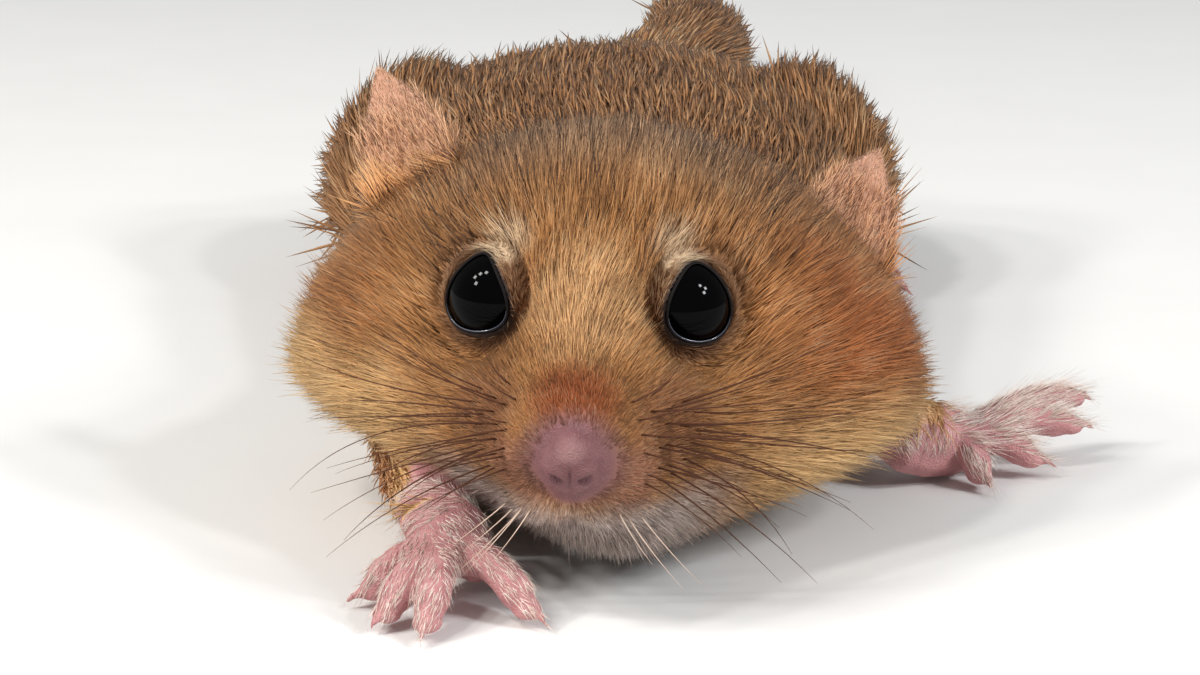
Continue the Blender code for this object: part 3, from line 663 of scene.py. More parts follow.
def attribute(start, name, output="Fac"):
    return start.node("ShaderNodeAttribute", {"attribute_name": name}, None, output)


def fixed_colour(start, shade):
    return start.node("ShaderNodeCombineColor", None, {0: shade[0], 1: shade[1], 2: shade[2]})


def new_material(name, roughness, specular=0.5):
    material = bpy.data.materials.new(name)
    material.use_nodes = True
    shader = material.node_tree.nodes["Principled BSDF"]
    shader.inputs["Roughness"].default_value = roughness
    shader.inputs["Specular IOR Level"].default_value = specular
    return material, shader, Paint(material.node_tree)


def spot(start, place, centre, reach, core=0.35):
    """1 round a place on both sides of the animal, fading out at the reach."""
    separate = start.tree.nodes.new("ShaderNodeSeparateXYZ")
    start.tree.links.new(place.socket, separate.inputs[0])
    x, y, z = (Paint(start.tree, separate.outputs[k]) for k in range(3))
    sideways = start.math("ABSOLUTE", x)
    parts = []
    for value, middle, size in zip((sideways, y, z), centre, reach):
        step = (value - middle) / size
        parts.append(step * step)
    return (parts[0] + parts[1] + parts[2]).within(1.0, core * core)


TAWNY = colour(196, 138, 82)
CROWN_BROWN = colour(230, 184, 144)
BACK_BROWN_AND_SHADE = colour(168, 120, 78)
BRIDGE_GOLD = colour(238, 188, 132)
RUST = colour(154, 74, 32)
LIP_RUST = colour(172, 118, 96)
BROW_CREAM = colour(230, 202, 166)
MUZZLE_BROWN = colour(164, 108, 72)
CHEEK_ORANGE = colour(190, 122, 66)
CHEEK_RUST_AND_SHADE = colour(202, 112, 58)
CHEEK_CREAM = colour(250, 206, 144)
CHIN_WHITE = colour(210, 192, 184)
BELLY_CREAM = colour(230, 206, 166)
EYE_SHADE = colour(96, 66, 48)
LEG_OCHRE = colour(206, 146, 102)
NOSE_PINK = colour(136, 90, 84)
EAR_GOLD = colour(232, 182, 150)
ROOT_GOLD = colour(224, 164, 108)


def markings_and_shade(start):
    """The coat's colours by place, some of it painted shade: the same on the hide as on the hair."""
    place = attribute(start, "place", "Vector")
    separate = start.tree.nodes.new("ShaderNodeSeparateXYZ")
    start.tree.links.new(place.socket, separate.inputs[0])
    x, y, z = (Paint(start.tree, separate.outputs[k]) for k in range(3))
    sideways = start.math("ABSOLUTE", x)
    patches = start.node("ShaderNodeTexNoise", None, {"Vector": place, "Scale": 0.35, "Detail": 3.0}, "Fac")
    wander = (patches - 0.5) * 3.0

    def laid(shade, paint, amount):
        return fixed_colour(start, paint).over(shade, amount)

    shade = fixed_colour(start, TAWNY)
    # The back is browner, and this colour is also darkened a little as painted shade so the head and ears
    # stand out against it.
    shade = laid(shade, BACK_BROWN_AND_SHADE, y.within(18.0, 28.0))
    crown = (z + wander).within(13.2, 17.2) * y.within(5.0, 11.0) * (1 - y.within(20.0, 34.0) * 0.6)
    shade = laid(shade, CROWN_BROWN, crown * 0.8)
    side_face = spot(start, place, (10.5, 9.5, 11.5), (4.5, 7.0, 5.5), 0.3)
    shade = laid(shade, CHEEK_ORANGE, side_face * 0.75)
    # A rust flush on the animal's left cheek only, the side away from the key light: partly the fur's own
    # colour and partly painted shade.
    shaded_side_flush = x.within(4.5, 11.0) * z.within(7.0, 10.5) * (1 - y.within(14.0, 22.0))
    shade = laid(shade, CHEEK_RUST_AND_SHADE, shaded_side_flush * 0.65)
    shade = laid(shade, BRIDGE_GOLD, spot(start, place, (0.0, 2.4, 13.0), (2.6, 4.6, 3.2), 0.15) * 0.9)
    shade = laid(shade, MUZZLE_BROWN, spot(start, place, (3.4, -0.6, 9.8), (2.4, 3.4, 2.4), 0.3) * 0.75)
    low_cheek = (9.2 - z - x * 0.08 + wander * 0.5).within(-1.0, 2.6) * sideways.within(4.2, 8.0)
    shade = laid(shade, CHEEK_CREAM, low_cheek * (1 - y.within(15.0, 24.0)) * 0.85)
    shade = laid(shade, BELLY_CREAM, (3.8 - z).within(0.0, 2.5))
    shade = laid(shade, LEG_OCHRE, spot(start, place, LEFT_FORELEG[2], (3.6, 5.0, 3.6), 0.5) * 0.8)
    shade = laid(shade, LEG_OCHRE, spot(start, place, (8.3, 10.5, 2.2), (3.4, 4.6, 3.0), 0.5) * 0.8)
    shade = laid(shade, LIP_RUST, spot(start, place, (1.9, -2.4, 8.4), (1.7, 2.4, 1.8), 0.2) * 0.8)
    chin = (7.3 - z).within(-0.6, 0.9) * (1 - sideways.within(3.4, 6.5)) * (1 - y.within(3.0, 9.0))
    shade = laid(shade, CHIN_WHITE, chin)
    shade = laid(shade, RUST, spot(start, place, (0.0, -2.2, 11.3), (2.3, 2.2, 1.7), 0.2) * 0.9)
    shade = laid(shade, EYE_SHADE, spot(start, place, (4.5, 4.2, 13.3), (2.45, 3.2, 2.6), 0.8) * 0.75)
    shade = laid(shade, BROW_CREAM, spot(start, place, (3.65, 4.5, 15.2), (1.75, 2.1, 1.05), 0.35) * 0.95)
    shade = laid(shade, ROOT_GOLD, spot(start, place, (7.6, 12.2, 15.2), (4.2, 4.6, 3.4), 0.4) * 0.7)
    shade = laid(shade, ROOT_GOLD, spot(start, place, (10.0, 12.4, 12.8), (4.0, 4.6, 3.4), 0.4) * 0.6)
    shade = laid(shade, EAR_GOLD, attribute(start, "ear") * 0.9)
    return laid(shade, NOSE_PINK, spot(start, place, tuple(NOSE_CENTRE), (2.4, 2.2, 2.2), 0.62))


def streaks(start):
    """Fine hair-like grain that runs back from the nose over the whole body."""
    place = attribute(start, "place", "Vector")

    def vector(operation, inputs, output=0):
        return start.node("ShaderNodeVectorMath", {"operation": operation}, inputs, output)

    away = vector("SUBTRACT", {0: place, 1: tuple(NOSE_TIP)})
    far = vector("LENGTH", {0: away}, "Value")
    spread = vector("SCALE", {0: vector("NORMALIZE", {0: away}), "Scale": 70.0 + far * 3.0})
    run = start.node("ShaderNodeCombineXYZ", None, {0: far * 0.5, 1: far * 0.2, 2: 0.0})
    comb = vector("ADD", {0: spread, 1: run})
    return start.node("ShaderNodeTexNoise", None, {"Vector": comb, "Scale": 1.0, "Detail": 3.0}, "Fac")


skin_material, shader, start = new_material("hide", 0.62, 0.4)
place = attribute(start, "place", "Vector")
bare_amount = attribute(start, "bare")
blotches = start.node("ShaderNodeTexNoise", None, {"Vector": place, "Scale": 1.6, "Detail": 4.0}, "Fac")
pores = start.node("ShaderNodeTexVoronoi", None, {"Vector": place, "Scale": 13.0}, "Distance")
grain = streaks(start)
fur = fixed_colour(start, colour(120, 78, 46)).over(markings_and_shade(start), (1 - grain.within(0.3, 0.65)) * 0.45)
pink = fixed_colour(start, colour(212, 158, 155)).over(fixed_colour(start, colour(168, 104, 108)), blotches)
nose_tone = spot(start, place, tuple(NOSE_CENTRE), (2.4, 1.9, 2.1), 0.8)
mauve = fixed_colour(start, colour(140, 94, 96)).over(fixed_colour(start, colour(98, 56, 60)), blotches)
# The pad's pale top is partly its own paler skin and partly a painted highlight.
pale_top_highlight = spot(start, place, (0.0, -3.9, 10.1), (0.75, 1.2, 0.6), 0.1)
mauve = fixed_colour(start, colour(188, 146, 140)).over(mauve, pale_top_highlight * 0.3)
# The nostrils are darkened with painted shade.
nostril_shade = spot(start, place, (0.62, -3.9, 8.85), (0.42, 0.8, 0.3), 0.3)
mauve = fixed_colour(start, colour(84, 46, 52)).over(mauve, nostril_shade * 0.7)
pink = mauve.over(pink, nose_tone)
ear_pink = fixed_colour(start, colour(188, 130, 110))
ear_pink = fixed_colour(start, colour(214, 164, 142)).over(ear_pink, blotches)
pink = ear_pink.over(pink, attribute(start, "ear"))
shown = pink.over(fur, bare_amount)
shown = fixed_colour(start, colour(40, 29, 27)).over(shown, attribute(start, "lid") * 0.92)
relief = (pores + blotches * 0.5) * bare_amount + grain * (1 - bare_amount)
bump = start.node("ShaderNodeBump", None, {"Strength": 0.5, "Distance": 0.00015, "Height": relief})
gloss = 0.55 + blotches * 0.15 - nose_tone * 0.1
for socket, value in (("Base Color", shown), ("Normal", bump), ("Roughness", gloss)):
    start.tree.links.new(value.socket, shader.inputs[socket])
shader.inputs["Subsurface Weight"].default_value = 0.15
shader.inputs["Subsurface Radius"].default_value = (1.0, 0.35, 0.2)
shader.inputs["Subsurface Scale"].default_value = 0.0006
skin.data.materials.clear()
skin.data.materials.append(skin_material)
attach(skin, "root")
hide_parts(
    "head", "neck", "torso", "thigh_left", "thigh_right", "foreleg_left", "foreleg_right",
    "forefoot_left", "forefoot_right", "hindfoot_left", "hindfoot_right", "ear_left", "ear_right",
    "tail_1", "tail_2", "tail_3", "tail_4",
)


# The eyes: large glossy black balls, wet all over, their fronts bulging a little. Each is one ball set deep
# in its socket, and only what the lids leave open is seen.
def finished(item, name, material, nodes=()):
    """Sets a piece in metres at its place, with its material."""
    item.name = name
    set_points(item.data, (points_of(item.data) - ORIGIN) * METRE)
    item.data.shade_smooth()
    item.data.materials.clear()
    item.data.materials.append(material)
    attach(item, "root")
    if nodes:
        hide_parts(*nodes)


def mottled(name, roughness, specular, light, dark, scale, detail=2.0):
    """A material of two close shades, mixed by a fine grain."""
    material, shader, start = new_material(name, roughness, specular)
    grain = start.node("ShaderNodeTexNoise", None, {"Scale": scale, "Detail": detail}, "Fac")
    shown = fixed_colour(start, light).over(fixed_colour(start, dark), grain)
    start.tree.links.new(shown.socket, shader.inputs["Base Color"])
    return material, shader, start, grain


EYE_BLACK = (0.0008, 0.0006, 0.0008, 1.0)
EYE_DEEP_BLACK = (0.0004, 0.0004, 0.0006, 1.0)
eye_material, shader, start, grain = mottled("eye_black", 0.04, 0.06, EYE_BLACK, EYE_DEEP_BLACK, 900.0)
start.tree.links.new((0.03 + grain * 0.03).socket, shader.inputs["Roughness"])
for side, name in ((1, "left"), (-1, "right")):
    eyeball = ball("eyeball", np.zeros(3), 1.0, 64, 48)
    across, axis, up = eye_frame(side)
    unit = points_of(eyeball.data)
    radius = EYE_RADIUS * (1 + 0.02 * smooth_step(0.6, 1.0, unit[:, 2]))
    shape = (unit[:, [0]] * across + unit[:, [1]] * up + unit[:, [2]] * axis) * radius[:, None]
    set_points(eyeball.data, posed(shape + mirrored(BALL_CENTRE, side)))
    finished(eyeball, "eyeball_" + name, eye_material, ["eye_" + name])


# The lids: narrow dark naked rims of skin that fit the ball closely, round below and drawn to a point above.
# A thin grey line of tears lies along the inside of the lower lid.
def lid_rim(side, thickness, radius, scale, lower_only=False):
    around, thick = 96, 12
    across, axis, up = eye_frame(side)
    first, last = (math.pi * 1.12, math.pi * 1.88) if lower_only else (0.0, 2 * math.pi)
    angle = np.linspace(first, last, around, endpoint=lower_only)
    x, z = lid_outline(angle, side, scale)
    out = np.sqrt(np.maximum(radius**2 - x**2 - z**2, 0.01))
    centre = x[:, None] * across + z[:, None] * up + out[:, None] * axis
    away = centre / np.linalg.norm(centre, axis=1)[:, None]
    run = np.gradient(centre, axis=0)
    if not lower_only:
        run = np.roll(centre, -1, axis=0) - np.roll(centre, 1, axis=0)
    run /= np.linalg.norm(run, axis=1)[:, None]
    wide = np.cross(run, away)
    turn = 2 * np.pi * np.arange(thick) / thick
    size = np.full(around, thickness)
    if lower_only:
        size = thickness * np.sqrt(np.sin(np.linspace(0.02, 0.98, around) * math.pi))
    ring = np.cos(turn)[None, :, None] * wide[:, None] * 1.25 + np.sin(turn)[None, :, None] * away[:, None]
    points = (centre[:, None] + size[:, None, None] * ring).reshape(-1, 3)
    faces = []
    for i in range(around - (1 if lower_only else 0)):
        j = (i + 1) % around
        for k in range(thick):
            after = (k + 1) % thick
            faces.append((i * thick + k, i * thick + after, j * thick + after, j * thick + k))
    if lower_only:
        faces += [tuple(range(thick)), tuple(range((around - 1) * thick, around * thick))]
    item = new_piece("lid", posed(points + mirrored(BALL_CENTRE, side)), faces)
    outward(item)
    return item


LID_SHADES = (colour(30, 23, 22), colour(14, 11, 12))
TEAR_SHADES = (colour(92, 98, 112), colour(44, 44, 52))
lid_material, shader, start, grain = mottled("lid_skin", 0.6, 0.12, *LID_SHADES, 6000.0, 3.0)
bump = start.node("ShaderNodeBump", None, {"Strength": 0.3, "Distance": 0.00005, "Height": grain})
start.tree.links.new(bump.socket, shader.inputs["Normal"])
tear_material = mottled("tear_line", 0.12, 0.6, *TEAR_SHADES, 4000.0)[0]
for side, name in ((1, "left"), (-1, "right")):
    rim = lid_rim(side, 0.05, EYE_RADIUS + 0.07, 1.0)
    finished(rim, "lid_rim_" + name, lid_material)
    tears = lid_rim(side, 0.024, EYE_RADIUS + 0.08, 0.97, True)
    finished(tears, "tear_line_" + name, tear_material)


# The coat: soft hair in fine overlapping tufts that lie back from the nose over the whole hide, short and
# close on the face, longer on the cheeks and body. It is coloured as the hide under it.
def waves(points, scale, seed):
    """Smooth wandering values between about -1 and 1, three to a point."""
    draw = np.random.default_rng(seed)
    total = np.zeros((len(points), 3))
    for _ in range(5):
        way = draw.normal(size=(3, 3)) / scale
        phase = draw.uniform(0, 2 * np.pi, 3)
        total += np.sin(points @ way + phase)
    return total / 3.0


def unit_rows(rows):
    return rows / np.maximum(np.linalg.norm(rows, axis=1), 1e-9)[:, None]


mesh = skin.data
mesh.calc_loop_triangles()
corner = np.empty(len(mesh.loop_triangles) * 3, dtype=np.int32)
mesh.loop_triangles.foreach_get("vertices", corner)
corner = corner.reshape(-1, 3)
edge_a = skin_place[corner[:, 1]] - skin_place[corner[:, 0]]
edge_b = skin_place[corner[:, 2]] - skin_place[corner[:, 0]]
area = np.linalg.norm(np.cross(edge_a, edge_b), axis=1) / 2
middle_place = skin_place[corner].mean(axis=1)


def scattered(count, weight, seed):
    """Roots drawn evenly over the hide where the weight is set: place and normal on the straight body."""
    draw = np.random.default_rng(seed)
    chance = np.cumsum(area * weight)
    pick = np.searchsorted(chance, draw.uniform(0, chance[-1], count))
    pick = np.minimum(pick, len(corner) - 1)
    a, b = draw.uniform(size=(2, count))
    over = a + b > 1
    a[over], b[over] = 1 - a[over], 1 - b[over]
    share = np.stack((1 - a - b, a, b), axis=1)[:, :, None]
    root = (skin_place[corner[pick]] * share).sum(axis=1)
    normal = unit_rows((skin_normal[corner[pick]] * share).sum(axis=1))
    return root, normal, draw


def flow(root, normal):
    """The way the hair lies: back from the nose, out over the cheeks and down the flanks."""
    away = unit_rows(root - NOSE_TIP)
    y = root[:, [1]]
    back = np.array((0.0, 1.0, 0.0))
    head_way = away + back * 0.5 * smooth_step(6.0, 16.0, y)
    body_way = back + np.array((0.0, 0.0, -0.3)) * (1 - np.abs(normal[:, [2]]))
    share = smooth_step(9.5, 17.0, y)
    way = head_way * (1 - share) + body_way * share
    way = way + 0.16 * waves(root, 2.6, 11) + 0.12 * waves(root, 0.7, 12)
    for side in (1, -1):
        off = root - mirrored(BALL_CENTRE, side)
        near = smooth_step(4.2, 2.6, np.linalg.norm(off, axis=1))[:, None]
        off = unit_rows(off - normal * (off * normal).sum(axis=1)[:, None])
        inward = np.minimum((way * off).sum(axis=1), 0.35)[:, None] - 0.35
        way = way - near * inward * off
    way = way - normal * (way * normal).sum(axis=1)[:, None]
    return unit_rows(way)


PATCH = 0.003
ROOT_DEPTH = 0.12
LEAST_HEIGHT = 0.02
CHART_EDGE = 0.004
CHART_SPAN = 0.988
BODY_MIDDLE_Z = 8.0


def unwrap(root, low_y, high_y):
    """Where a root lies on the hide unrolled: along the body, and round it."""
    angle = np.arctan2(root[:, 2] - BODY_MIDDLE_Z, root[:, 0])
    u = CHART_EDGE + CHART_SPAN * np.clip((root[:, 1] - low_y) / (high_y - low_y), 0, 1)
    v = CHART_EDGE + CHART_SPAN * (angle + np.pi) / (2 * np.pi)
    return np.stack((u, v), axis=1)


def tufts(
    name, root, normal, way, length, width, lift, tone, chart, stations=((0.0, 0.7), (0.5, 1.0)), bend=0.6,
):
    """Closed three-sided hairs or locks: rings at the stations, then a point."""
    count = len(root)
    side = unit_rows(np.cross(normal, way))
    sunk = root - normal * np.minimum(ROOT_DEPTH, 0.3 * width)[:, None]
    rings = len(stations)
    sides = 3
    each = rings * sides + 1
    points = np.empty((count, each, 3))
    along = np.empty(each)
    for i, (t, share) in enumerate(stations + ((1.0, 0.0),)):
        rise = lift * (t - bend * t * t)
        centre = sunk + way * (length * t)[:, None] + normal * (length * rise)[:, None]
        if i == rings:
            points[:, -1] = centre
            along[-1] = 1.0
            break
        half = (width * share / 2)[:, None]
        points[:, i * sides] = centre - side * half
        points[:, i * sides + 1] = centre + side * half
        points[:, i * sides + 2] = centre + normal * half * 0.9
        along[i * sides : (i + 1) * sides] = t
    faces = [(0, 2, 1)]
    for i in range(rings - 1):
        for k in range(sides):
            a, b = i * sides + k, i * sides + (k + 1) % sides
            faces += [(a, b, b + sides), (a, b + sides, a + sides)]
    top = (rings - 1) * sides
    for k in range(sides):
        faces.append((top + k, top + (k + 1) % sides, each - 1))
    faces = np.array(faces)
    corners = (faces[None] + (np.arange(count) * each)[:, None, None]).reshape(-1)
    flat = points.reshape(-1, 3)
    mesh = bpy.data.meshes.new(name)
    mesh.vertices.add(len(flat))
    mesh.loops.add(len(corners))
    mesh.polygons.add(len(corners) // 3)
    flat = posed(flat)
    flat[:, 2] = np.maximum(flat[:, 2], LEAST_HEIGHT)
    mesh.vertices.foreach_set("co", ((flat - ORIGIN) * METRE).ravel())
    mesh.loops.foreach_set("vertex_index", corners.astype(np.int32))
    mesh.polygons.foreach_set("loop_start", np.arange(0, len(corners), 3, dtype=np.int32))
    mesh.update(calc_edges=True)
    store(mesh, "place", np.repeat(root, each, axis=0), "FLOAT_VECTOR")
    store(mesh, "along", np.tile(along, count))
    store(mesh, "tone", np.repeat(tone, each))
    local = np.array([(0.5 * (k % sides), a) for k, a in enumerate(along)])
    spots = (chart[:, None] + local[None] * PATCH).reshape(-1, 2)
    layer = mesh.uv_layers.new(name="OFBake")
    layer.data.foreach_set("uv", spots[corners].ravel())
    mesh.shade_smooth()
    item = bpy.data.objects.new(name, mesh)
    bpy.context.scene.collection.objects.link(item)
    return item


coat_material, shader, start = new_material("coat", 0.6, 0.3)
tone = attribute(start, "tone")
along = attribute(start, "along")
shade = markings_and_shade(start)
shade = fixed_colour(start, colour(84, 52, 32)).over(shade, (1 - tone.within(0.0, 0.6)) * 0.62)
# Darker towards each hair's root: partly the hair's own darker base and partly painted shade deep in the
# coat.
shade = fixed_colour(start, colour(96, 60, 34)).over(shade, (1 - along.within(0.0, 0.6)) * 0.22)
# Pale golden tips on the lighter hairs: partly the hair's own colour and partly a painted highlight.
pale_tip_and_highlight = along.within(0.3, 1.0) * tone.within(0.55, 1.0) * 0.42
shade = fixed_colour(start, colour(252, 228, 184)).over(shade, pale_tip_and_highlight)
shade = fixed_colour(start, colour(62, 40, 26)).over(shade, 1 - tone.within(0.02, 0.05))
start.tree.links.new(shade.socket, shader.inputs["Base Color"])
start.tree.links.new((0.5 + tone * 0.2).socket, shader.inputs["Roughness"])


def add_coat(name, root, normal, way, length, width, lift, tone, chart, material=coat_material, **more):
    item = tufts(name, root, normal, way, length, width, lift, tone, chart, **more)
    item.data.materials.append(material)
    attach(item, "root")
    return item


def add_parts(parts, pieces, **more):
    """The coat of one region in pieces, each from the hairs that are chosen for it."""
    for name, chosen in parts.items():
        add_coat(name, *(values[chosen] for values in pieces), **more)


def laid_flat(way, normal, draw, stray):
    """The way kept to the hide, and each hair a little astray."""
    flat = way - normal * (way * normal).sum(axis=1)[:, None]
    return unit_rows(flat + stray * draw.normal(size=(len(way), 3)))


def hair_length(root):
    """Shortest at the nose, longest on the back."""
    y = root[:, 1]
    sideways = np.abs(root[:, 0])
    from_nose = np.linalg.norm(root - NOSE_CENTRE, axis=1)
    length = 0.4 + 0.9 * smooth_step(1.5, 6.0, from_nose) + 0.8 * smooth_step(6.0, 14.0, from_nose)
    length += 1.0 * smooth_step(4.0, 10.0, sideways) * smooth_step(10.0, 4.5, root[:, 2])
    length += 1.7 * smooth_step(16.0, 34.0, y)
    for side in (1, -1):
        near = np.linalg.norm(root - mirrored(BALL_CENTRE, side), axis=1)
        length *= 0.4 + 0.6 * smooth_step(2.2, 4.2, near)
    return length


def clear_of_eyes(root, scale=1.1):
    return np.minimum(lid_share(root, 1), lid_share(root, -1)) > scale


def short_of_eyes(root, way, length):
    """Hair that would lie over an eye is cut short."""
    for cut in (0.5, 0.4):
        tip = root + way * length[:, None]
        length = np.where(clear_of_eyes(tip, 1.02), length, length * cut)
    return length


BARE_NOSE = 1.13
BARE_LIDS = 1.12


def fur_roots(count, weight, seed, scale=BARE_LIDS):
    """Roots of hair, clear of the nose, the eyes and the floor."""
    root, normal, draw = scattered(count, weight, seed)
    near_nose = np.linalg.norm((root - NOSE_CENTRE) / NOSE_RADII, axis=1)
    keep = near_nose > BARE_NOSE
    keep &= draw.uniform(size=len(root)) < 0.35 + 0.65 * smooth_step(1.15, 1.5, near_nose)
    keep &= clear_of_eyes(root, scale) & (posed(root)[:, 2] > -0.3)
    return root[keep], normal[keep], draw


furred = ~(is_foot | is_ear | is_tail | (is_nose & (skin_place[:, 2] < 9.7)) | is_leg | is_wrist)
furred_face = furred[corner].all(axis=1)
HEAD_TUFTS = 150000
BODY_TUFTS = 56000
HAUNCH_REACH = 18.4
CLIMB = np.array((0.0, 0.4, 1.0))
STRAIGHT = ((0.0, 1.0),)
y = middle_place[:, 1]
head_weight = furred_face * (1 - smooth_step(19.0, 24.0, y)) * (1.0 + 0.5 * smooth_step(6.0, 0.0, y))
head_weight *= 1 - 0.65 * smooth_step(6.0, 3.0, middle_place[:, 2]) * smooth_step(6.0, 9.0, y)
root, normal, draw = fur_roots(HEAD_TUFTS, head_weight, 21)
length = hair_length(root) * draw.uniform(0.75, 1.25, len(root))
width = (0.045 + 0.03 * smooth_step(0.5, 3.0, length)) * draw.uniform(0.75, 1.25, len(root))
lift = 0.4 * draw.uniform(0.2, 1.8, len(root))
round_eye = smooth_step(1.6, 1.15, np.minimum(lid_share(root, 1), lid_share(root, -1)))
lift += 0.35 * round_eye
lift *= 1 - 0.4 * smooth_step(13.0, 21.0, root[:, 1])
way = unit_rows(flow(root, normal) + 0.10 * draw.normal(size=(len(root), 3)))
length = short_of_eyes(root, way, length)
tone = np.clip(draw.uniform(0, 1, len(root)) * 0.8 + 0.3 * waves(root, 0.45, 31)[:, 0] + 0.1, 0.06, 1)
chart = unwrap(root, -5.0, 26.0)
high = root[:, 2] > 13.0
front = root[:, 1] < 4.5
left = root[:, 0] > 0
low = root[:, 2] < 5.2
parts = {
    "coat_muzzle": front & ~low,
    "coat_crown": high & ~front,
    "coat_cheek_left": ~high & ~front & left & ~low,
    "coat_cheek_right": ~high & ~front & ~left & ~low,
    "coat_throat": low,
}
add_parts(parts, (root, normal, way, length, width, lift, tone, chart), stations=STRAIGHT)

body_weight = furred_face * smooth_step(19.0, 24.0, y)
body_weight *= 0.35 + 0.65 * smooth_step(2.0, 4.0, middle_place[:, 2])
root, normal, draw = fur_roots(BODY_TUFTS, body_weight, 22)
facing_front = smooth_step(-0.1, -0.7, normal[:, 1])
length = hair_length(root) + 0.8 * smooth_step(24.0, 42.0, root[:, 1])
length *= draw.uniform(0.8, 1.2, len(root)) * (1 - 0.6 * facing_front)
length *= 0.7 + 0.3 * smooth_step(26.0, 40.0, root[:, 1])
width = (0.085 + 0.035 * smooth_step(28.0, 44.0, root[:, 1])) * draw.uniform(0.7, 1.3, len(root))
lift = (0.3 - 0.08 * smooth_step(24.0, 44.0, root[:, 1])) * draw.uniform(0.3, 1.5, len(root))
lift *= 1 - 0.6 * facing_front
climbing = CLIMB - normal * (normal @ CLIMB)[:, None]
way = flow(root, normal) * (1 - facing_front)[:, None] + climbing * facing_front[:, None]
way = unit_rows(way + 0.07 * draw.normal(size=(len(root), 3)))
tip = posed(root + (way + normal * lift[:, None]) * length[:, None])
length = np.where(np.abs(tip[:, 0]) > HAUNCH_REACH, 0.4 * length, length)
tone = np.clip(draw.uniform(0, 1, len(root)) * 0.9 + 0.1 * (0.5 + waves(root, 0.9, 32)[:, 0]), 0.06, 1)
chart = unwrap(root, 18.0, 74.0)
top = root[:, 2] > 10.5
belly = root[:, 2] < 3.0
left = root[:, 0] > 0
shoulder = root[:, 1] < 40.0
parts = {
    "coat_shoulders": top & shoulder,
    "coat_back": top & ~shoulder,
    "coat_flank_left": ~top & ~belly & left,
    "coat_flank_right": ~top & ~belly & ~left,
    "coat_belly": belly,
}
add_parts(parts, (root, normal, way, length, width, lift, tone, chart))


# The legs, feet and ears carry short close hair of their own: ochre down the legs, whitish and thin over
# the feet, golden and finest on both sides of the ears with a soft fringe round the rim.
FORELEG_TUFTS = 4400
FOOT_TUFTS = 9400
EAR_TUFTS = 7600


def down_limb(root, lines):
    """The way down the nearest limb, from the body to the toes."""
    ways = [np.gradient(line, axis=0) for line in lines]
    line, ways = np.vstack(lines), unit_rows(np.vstack(ways))
    nearest = np.linalg.norm(root[:, None] - line[None], axis=2).argmin(axis=1)
    return ways[nearest]


root, normal, draw = fur_roots(FORELEG_TUFTS, is_leg[corner].all(axis=1) * 1.0, 23)
way = laid_flat(down_limb(root, leg_lines), normal, draw, 0.14)
length = 1.5 * draw.uniform(0.7, 1.3, len(root))
tone = draw.uniform(0.1, 1, len(root))
lift = 0.3 * draw.uniform(0.5, 1.5, len(root))
width = np.full(len(root), 0.07)
add_coat("coat_forelegs", root, normal, way, length, width, lift, tone, unwrap(root, 0, 32))

upper = (skin_normal[:, 2] > 0.15) & (is_foot | is_wrist)
root, normal, draw = fur_roots(FOOT_TUFTS, upper[corner].all(axis=1) * 1.0, 24)
way = laid_flat(down_limb(root, foot_lines), normal, draw, 0.14)
fluffy = smooth_step(9.0, 7.0, np.linalg.norm(root - LEFT_PALM, axis=1))
fluffy *= smooth_step(0.35, 0.75, normal[:, 2])
length = (0.7 + 0.8 * fluffy) * draw.uniform(0.6, 1.4, len(root))
tone = draw.uniform(0.3, 1, len(root))
lift = (0.22 + 0.3 * fluffy) * draw.uniform(0.5, 1.5, len(root))
width = np.full(len(root), 0.04)
down_material, shader, start = new_material("foot_down", 0.6, 0.3)
buff = fixed_colour(start, colour(226, 190, 172))
white = fixed_colour(start, colour(250, 238, 228)).over(buff, attribute(start, "tone"))
start.tree.links.new(white.socket, shader.inputs["Base Color"])
pieces = (root, normal, way, length, width, lift, tone, unwrap(root, -5, 66), down_material)
add_coat("coat_feet", *pieces, stations=STRAIGHT)

for name, seed in (("left", 25), ("right", 26)):
    ear_here = on_ear(skin_place, name) & is_ear
    root, normal, draw = fur_roots(EAR_TUFTS, ear_here[corner].all(axis=1) * 1.0, seed)
    _, side_way, up, _ = ear_frame(name)
    across, height, forward = ear_coordinates(root, name)
    outer = smooth_step(0.5, 1.0, np.abs(across) / EAR_HALF_WIDTH) * np.sign(across)
    way = up[None] + 0.22 * outer[:, None] * side_way[None]
    way = laid_flat(way, normal, draw, 0.12)
    length = (0.34 + 0.4 * smooth_step(3.0, 0.5, height)) * draw.uniform(0.6, 1.4, len(root))
    half_width = EAR_HALF_WIDTH * (1.02 - height / (1.15 * EAR_LENGTH))
    rim = smooth_step(0.62, 0.95, np.abs(across) / half_width)
    brown = draw.uniform(size=len(root)) < 0.14 + 0.6 * rim
    tone = np.where(brown, draw.uniform(0.03, 0.12, len(root)), draw.uniform(0.35, 1, len(root)))
    lift = 0.3 * draw.uniform(0.2, 1.8, len(root))
    width = np.full(len(root), 0.03)
    chart = 0.004 + 0.98 * np.stack((across / 8 + 0.5, height / 8 + 0.1), axis=1)
    chart = np.clip(chart, 0.002, 0.994)
    pieces = (root, normal, way, length, width, lift, tone, chart)
    item = add_coat("coat_ear_" + name, *pieces, stations=STRAIGHT)
    store(item.data, "ear", np.ones(len(item.data.vertices)))

    lower = (height < 0.62 * EAR_LENGTH) & (forward > EAR_CUP * (across / EAR_HALF_WIDTH) ** 2 - 0.9)
    lower &= draw.uniform(size=len(root)) < 0.2
    count = int(lower.sum())
    root, normal, way, chart = root[lower], normal[lower], way[lower], chart[lower]
    way = unit_rows(way + 0.2 * draw.normal(size=(count, 3)))
    tone = np.where(draw.uniform(size=count) < 0.15, 0.04, draw.uniform(0.4, 1.0, count))
    item = add_coat(
        "long_ear_hair_" + name, root, normal, way, draw.uniform(0.8, 1.5, count), np.full(count, 0.034),
        draw.uniform(0.1, 0.5, count), tone, chart,
    )
    store(item.data, "ear", 0.6 * np.ones(len(item.data.vertices)))


